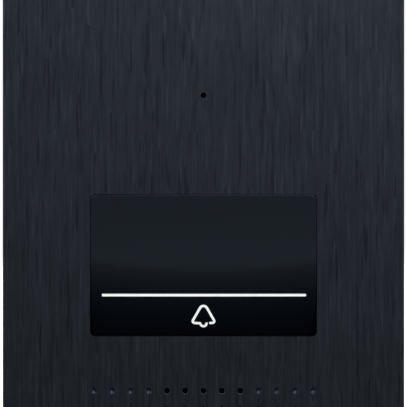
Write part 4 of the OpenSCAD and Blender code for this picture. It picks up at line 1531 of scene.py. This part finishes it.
@dataclass
class Studio:
    """Pale floor, soft lamps, a sky that is lighter above than below, and the camera."""

    frame_w: float = 111.3 * MM
    lens: float = 85.0
    sensor: float = 36.0
    aim_z: float = -8.07 * MM
    floor_reach: float = 3.0
    floor_gap: float = 0.5 * MM
    # height in the sky, from 0 straight below to 1 straight above, and its level there
    sky_levels: tuple[Point, ...] = (
        (0.0, 0.01), (0.269, 0.02), (0.307, 0.045), (0.345, 0.08), (0.388, 0.165), (0.428, 0.25),
        (0.466, 0.46), (0.49, 0.40), (0.51, 0.37), (0.62, 0.6), (1.0, 1.0),
    )
    # name, place, side and watts
    lamps: tuple[tuple[str, Size, float, float], ...] = (
        ("key_lamp", (0.2, -0.75, 1.15), 0.7, 6.0),
        ("fill_lamp", (-0.9, -0.5, 0.6), 0.6, 2.4),
        ("rear_lamp", (-0.4, 0.9, 0.8), 0.8, 12.0),
    )

    def camera(self) -> None:
        """Looks straight at the faceplate, as wide as the plate and a hair more."""
        data = bpy.data.cameras.new("camera")
        data.lens = self.lens
        data.sensor_width = self.sensor
        data.clip_start, data.clip_end = 0.01, 50.0
        eye = set_up("camera", data)
        eye.location = (0.0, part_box("front_plate")[0].y - self.frame_w * self.lens / self.sensor, self.aim_z)
        eye.rotation_euler = UPRIGHT
        bpy.context.scene.camera = eye

    def floor(self) -> None:
        """A pale floor that keeps the shadow, is white to the camera and can be looked through from below."""
        reach, z = self.floor_reach, CAD_BOX[0].z - self.floor_gap
        mesh = bmesh.new()
        corners = [(-reach, -reach, z), (reach, -reach, z), (reach, reach, z), (-reach, reach, z)]
        mesh.faces.new([mesh.verts.new(c) for c in corners])
        floor = set_up("floor", to_data(mesh, "floor"))
        material = bpy.data.materials.new("painted_board_white")
        material.use_nodes = True
        tree = material.node_tree
        tree.nodes.clear()
        matt = add_node(tree, "ShaderNodeBsdfDiffuse", {"Color": linear("#f2f2f2")})
        glow = add_node(tree, "ShaderNodeEmission", {"Color": linear("#ffffff"), "Strength": 0.32})
        lit = add_node(tree, "ShaderNodeAddShader", {0: matt, 1: glow})
        seen = add_node(tree, "ShaderNodeLightPath").outputs["Is Camera Ray"]
        pick = add_node(tree, "ShaderNodeMixShader", {0: seen, 1: matt, 2: lit})
        below = add_node(tree, "ShaderNodeNewGeometry").outputs["Backfacing"]
        clear = add_node(tree, "ShaderNodeBsdfTransparent")
        top = add_node(tree, "ShaderNodeMixShader", {0: below, 1: pick, 2: clear})
        add_node(tree, "ShaderNodeOutputMaterial", {"Surface": top})
        floor.data.materials.append(material)
        floor.visible_glossy = False

    def sky(self) -> None:
        """White to the camera and through glass; to the object, brighter above and to the right, dark below."""
        world = bpy.data.worlds.new("studio")
        bpy.context.scene.world = world
        world.use_nodes = True
        tree = world.node_tree
        tree.nodes.clear()
        way = add_node(tree, "ShaderNodeTexCoord").outputs["Generated"]
        x, y, z = add_node(tree, "ShaderNodeSeparateXYZ", {0: way}).outputs
        height = add_node(tree, "ShaderNodeMapRange", {0: z, 1: -1.0, 2: 1.0})
        ramp = add_node(tree, "ShaderNodeValToRGB", {0: height})
        bands = ramp.color_ramp.elements
        while len(bands) < len(self.sky_levels):
            bands.new(0.5)
        for band, (at, level) in zip(bands, self.sky_levels):
            band.position = at
            band.color = (level, level, level, 1.0)
        side = add_node(tree, "ShaderNodeMapRange", {0: x, 1: -1.0, 2: 1.0, 3: 0.85, 4: 1.15})
        away = add_node(tree, "ShaderNodeMath", {0: x}, operation="ABSOLUTE")
        behind = add_node(tree, "ShaderNodeMapRange", {0: y, 1: -0.75, 2: -0.4})
        beside = add_node(tree, "ShaderNodeMapRange", {0: away, 1: 0.35, 2: 0.6})
        clear = add_node(tree, "ShaderNodeMath", {0: beside, 1: behind}, operation="MAXIMUM")
        pale = add_node(tree, "ShaderNodeMapRange", {0: height, 1: 0.2, 2: 0.8, 3: 0.32, 4: 0.8})
        both = add_node(tree, "ShaderNodeMix", {0: clear, 6: ramp, 7: pale}, data_type="RGBA").outputs[2]
        level = add_node(tree, "ShaderNodeVectorMath", {0: both, 1: side}, operation="MULTIPLY")
        soft = add_node(tree, "ShaderNodeBackground", {"Color": level, "Strength": 1.0})
        white = add_node(tree, "ShaderNodeBackground", {"Color": linear("#ffffff"), "Strength": 1.0})
        path = add_node(tree, "ShaderNodeLightPath").outputs
        rays = {0: path["Is Camera Ray"], 1: path["Is Transmission Ray"]}
        seen = add_node(tree, "ShaderNodeMath", rays, operation="MAXIMUM")
        pick = add_node(tree, "ShaderNodeMixShader", {0: seen, 1: soft, 2: white})
        add_node(tree, "ShaderNodeOutputWorld", {"Surface": pick})

    def light(self) -> None:
        """Hangs the soft square lamps, which all look at the object's middle."""
        for name, place, side, power in self.lamps:
            data = bpy.data.lights.new(name, "AREA")
            data.shape, data.size, data.energy = "SQUARE", side, power
            lamp = set_up(name, data)
            lamp.location = place
            lamp.rotation_euler = (-Vector(place)).to_track_quat("-Z", "Y").to_euler()

    def build(self) -> None:
        """Sets up the camera, the floor, the sky and the lamps."""
        self.camera()
        self.floor()
        self.sky()
        self.light()
        bpy.context.scene.view_settings.view_transform = "Standard"


def main() -> None:
    """Builds the door station and its studio."""
    logging.basicConfig(level=logging.INFO, format="%(name)s: %(message)s")
    CarriedNodes().dress()
    Studio().build()
    Faceplate().build()
    CallButton().build()
    CameraWindow().build()
    MicrophoneCapsule().build()
    CoilSprings().build()
    Fasteners().build()


if __name__ == "__main__":
    main()
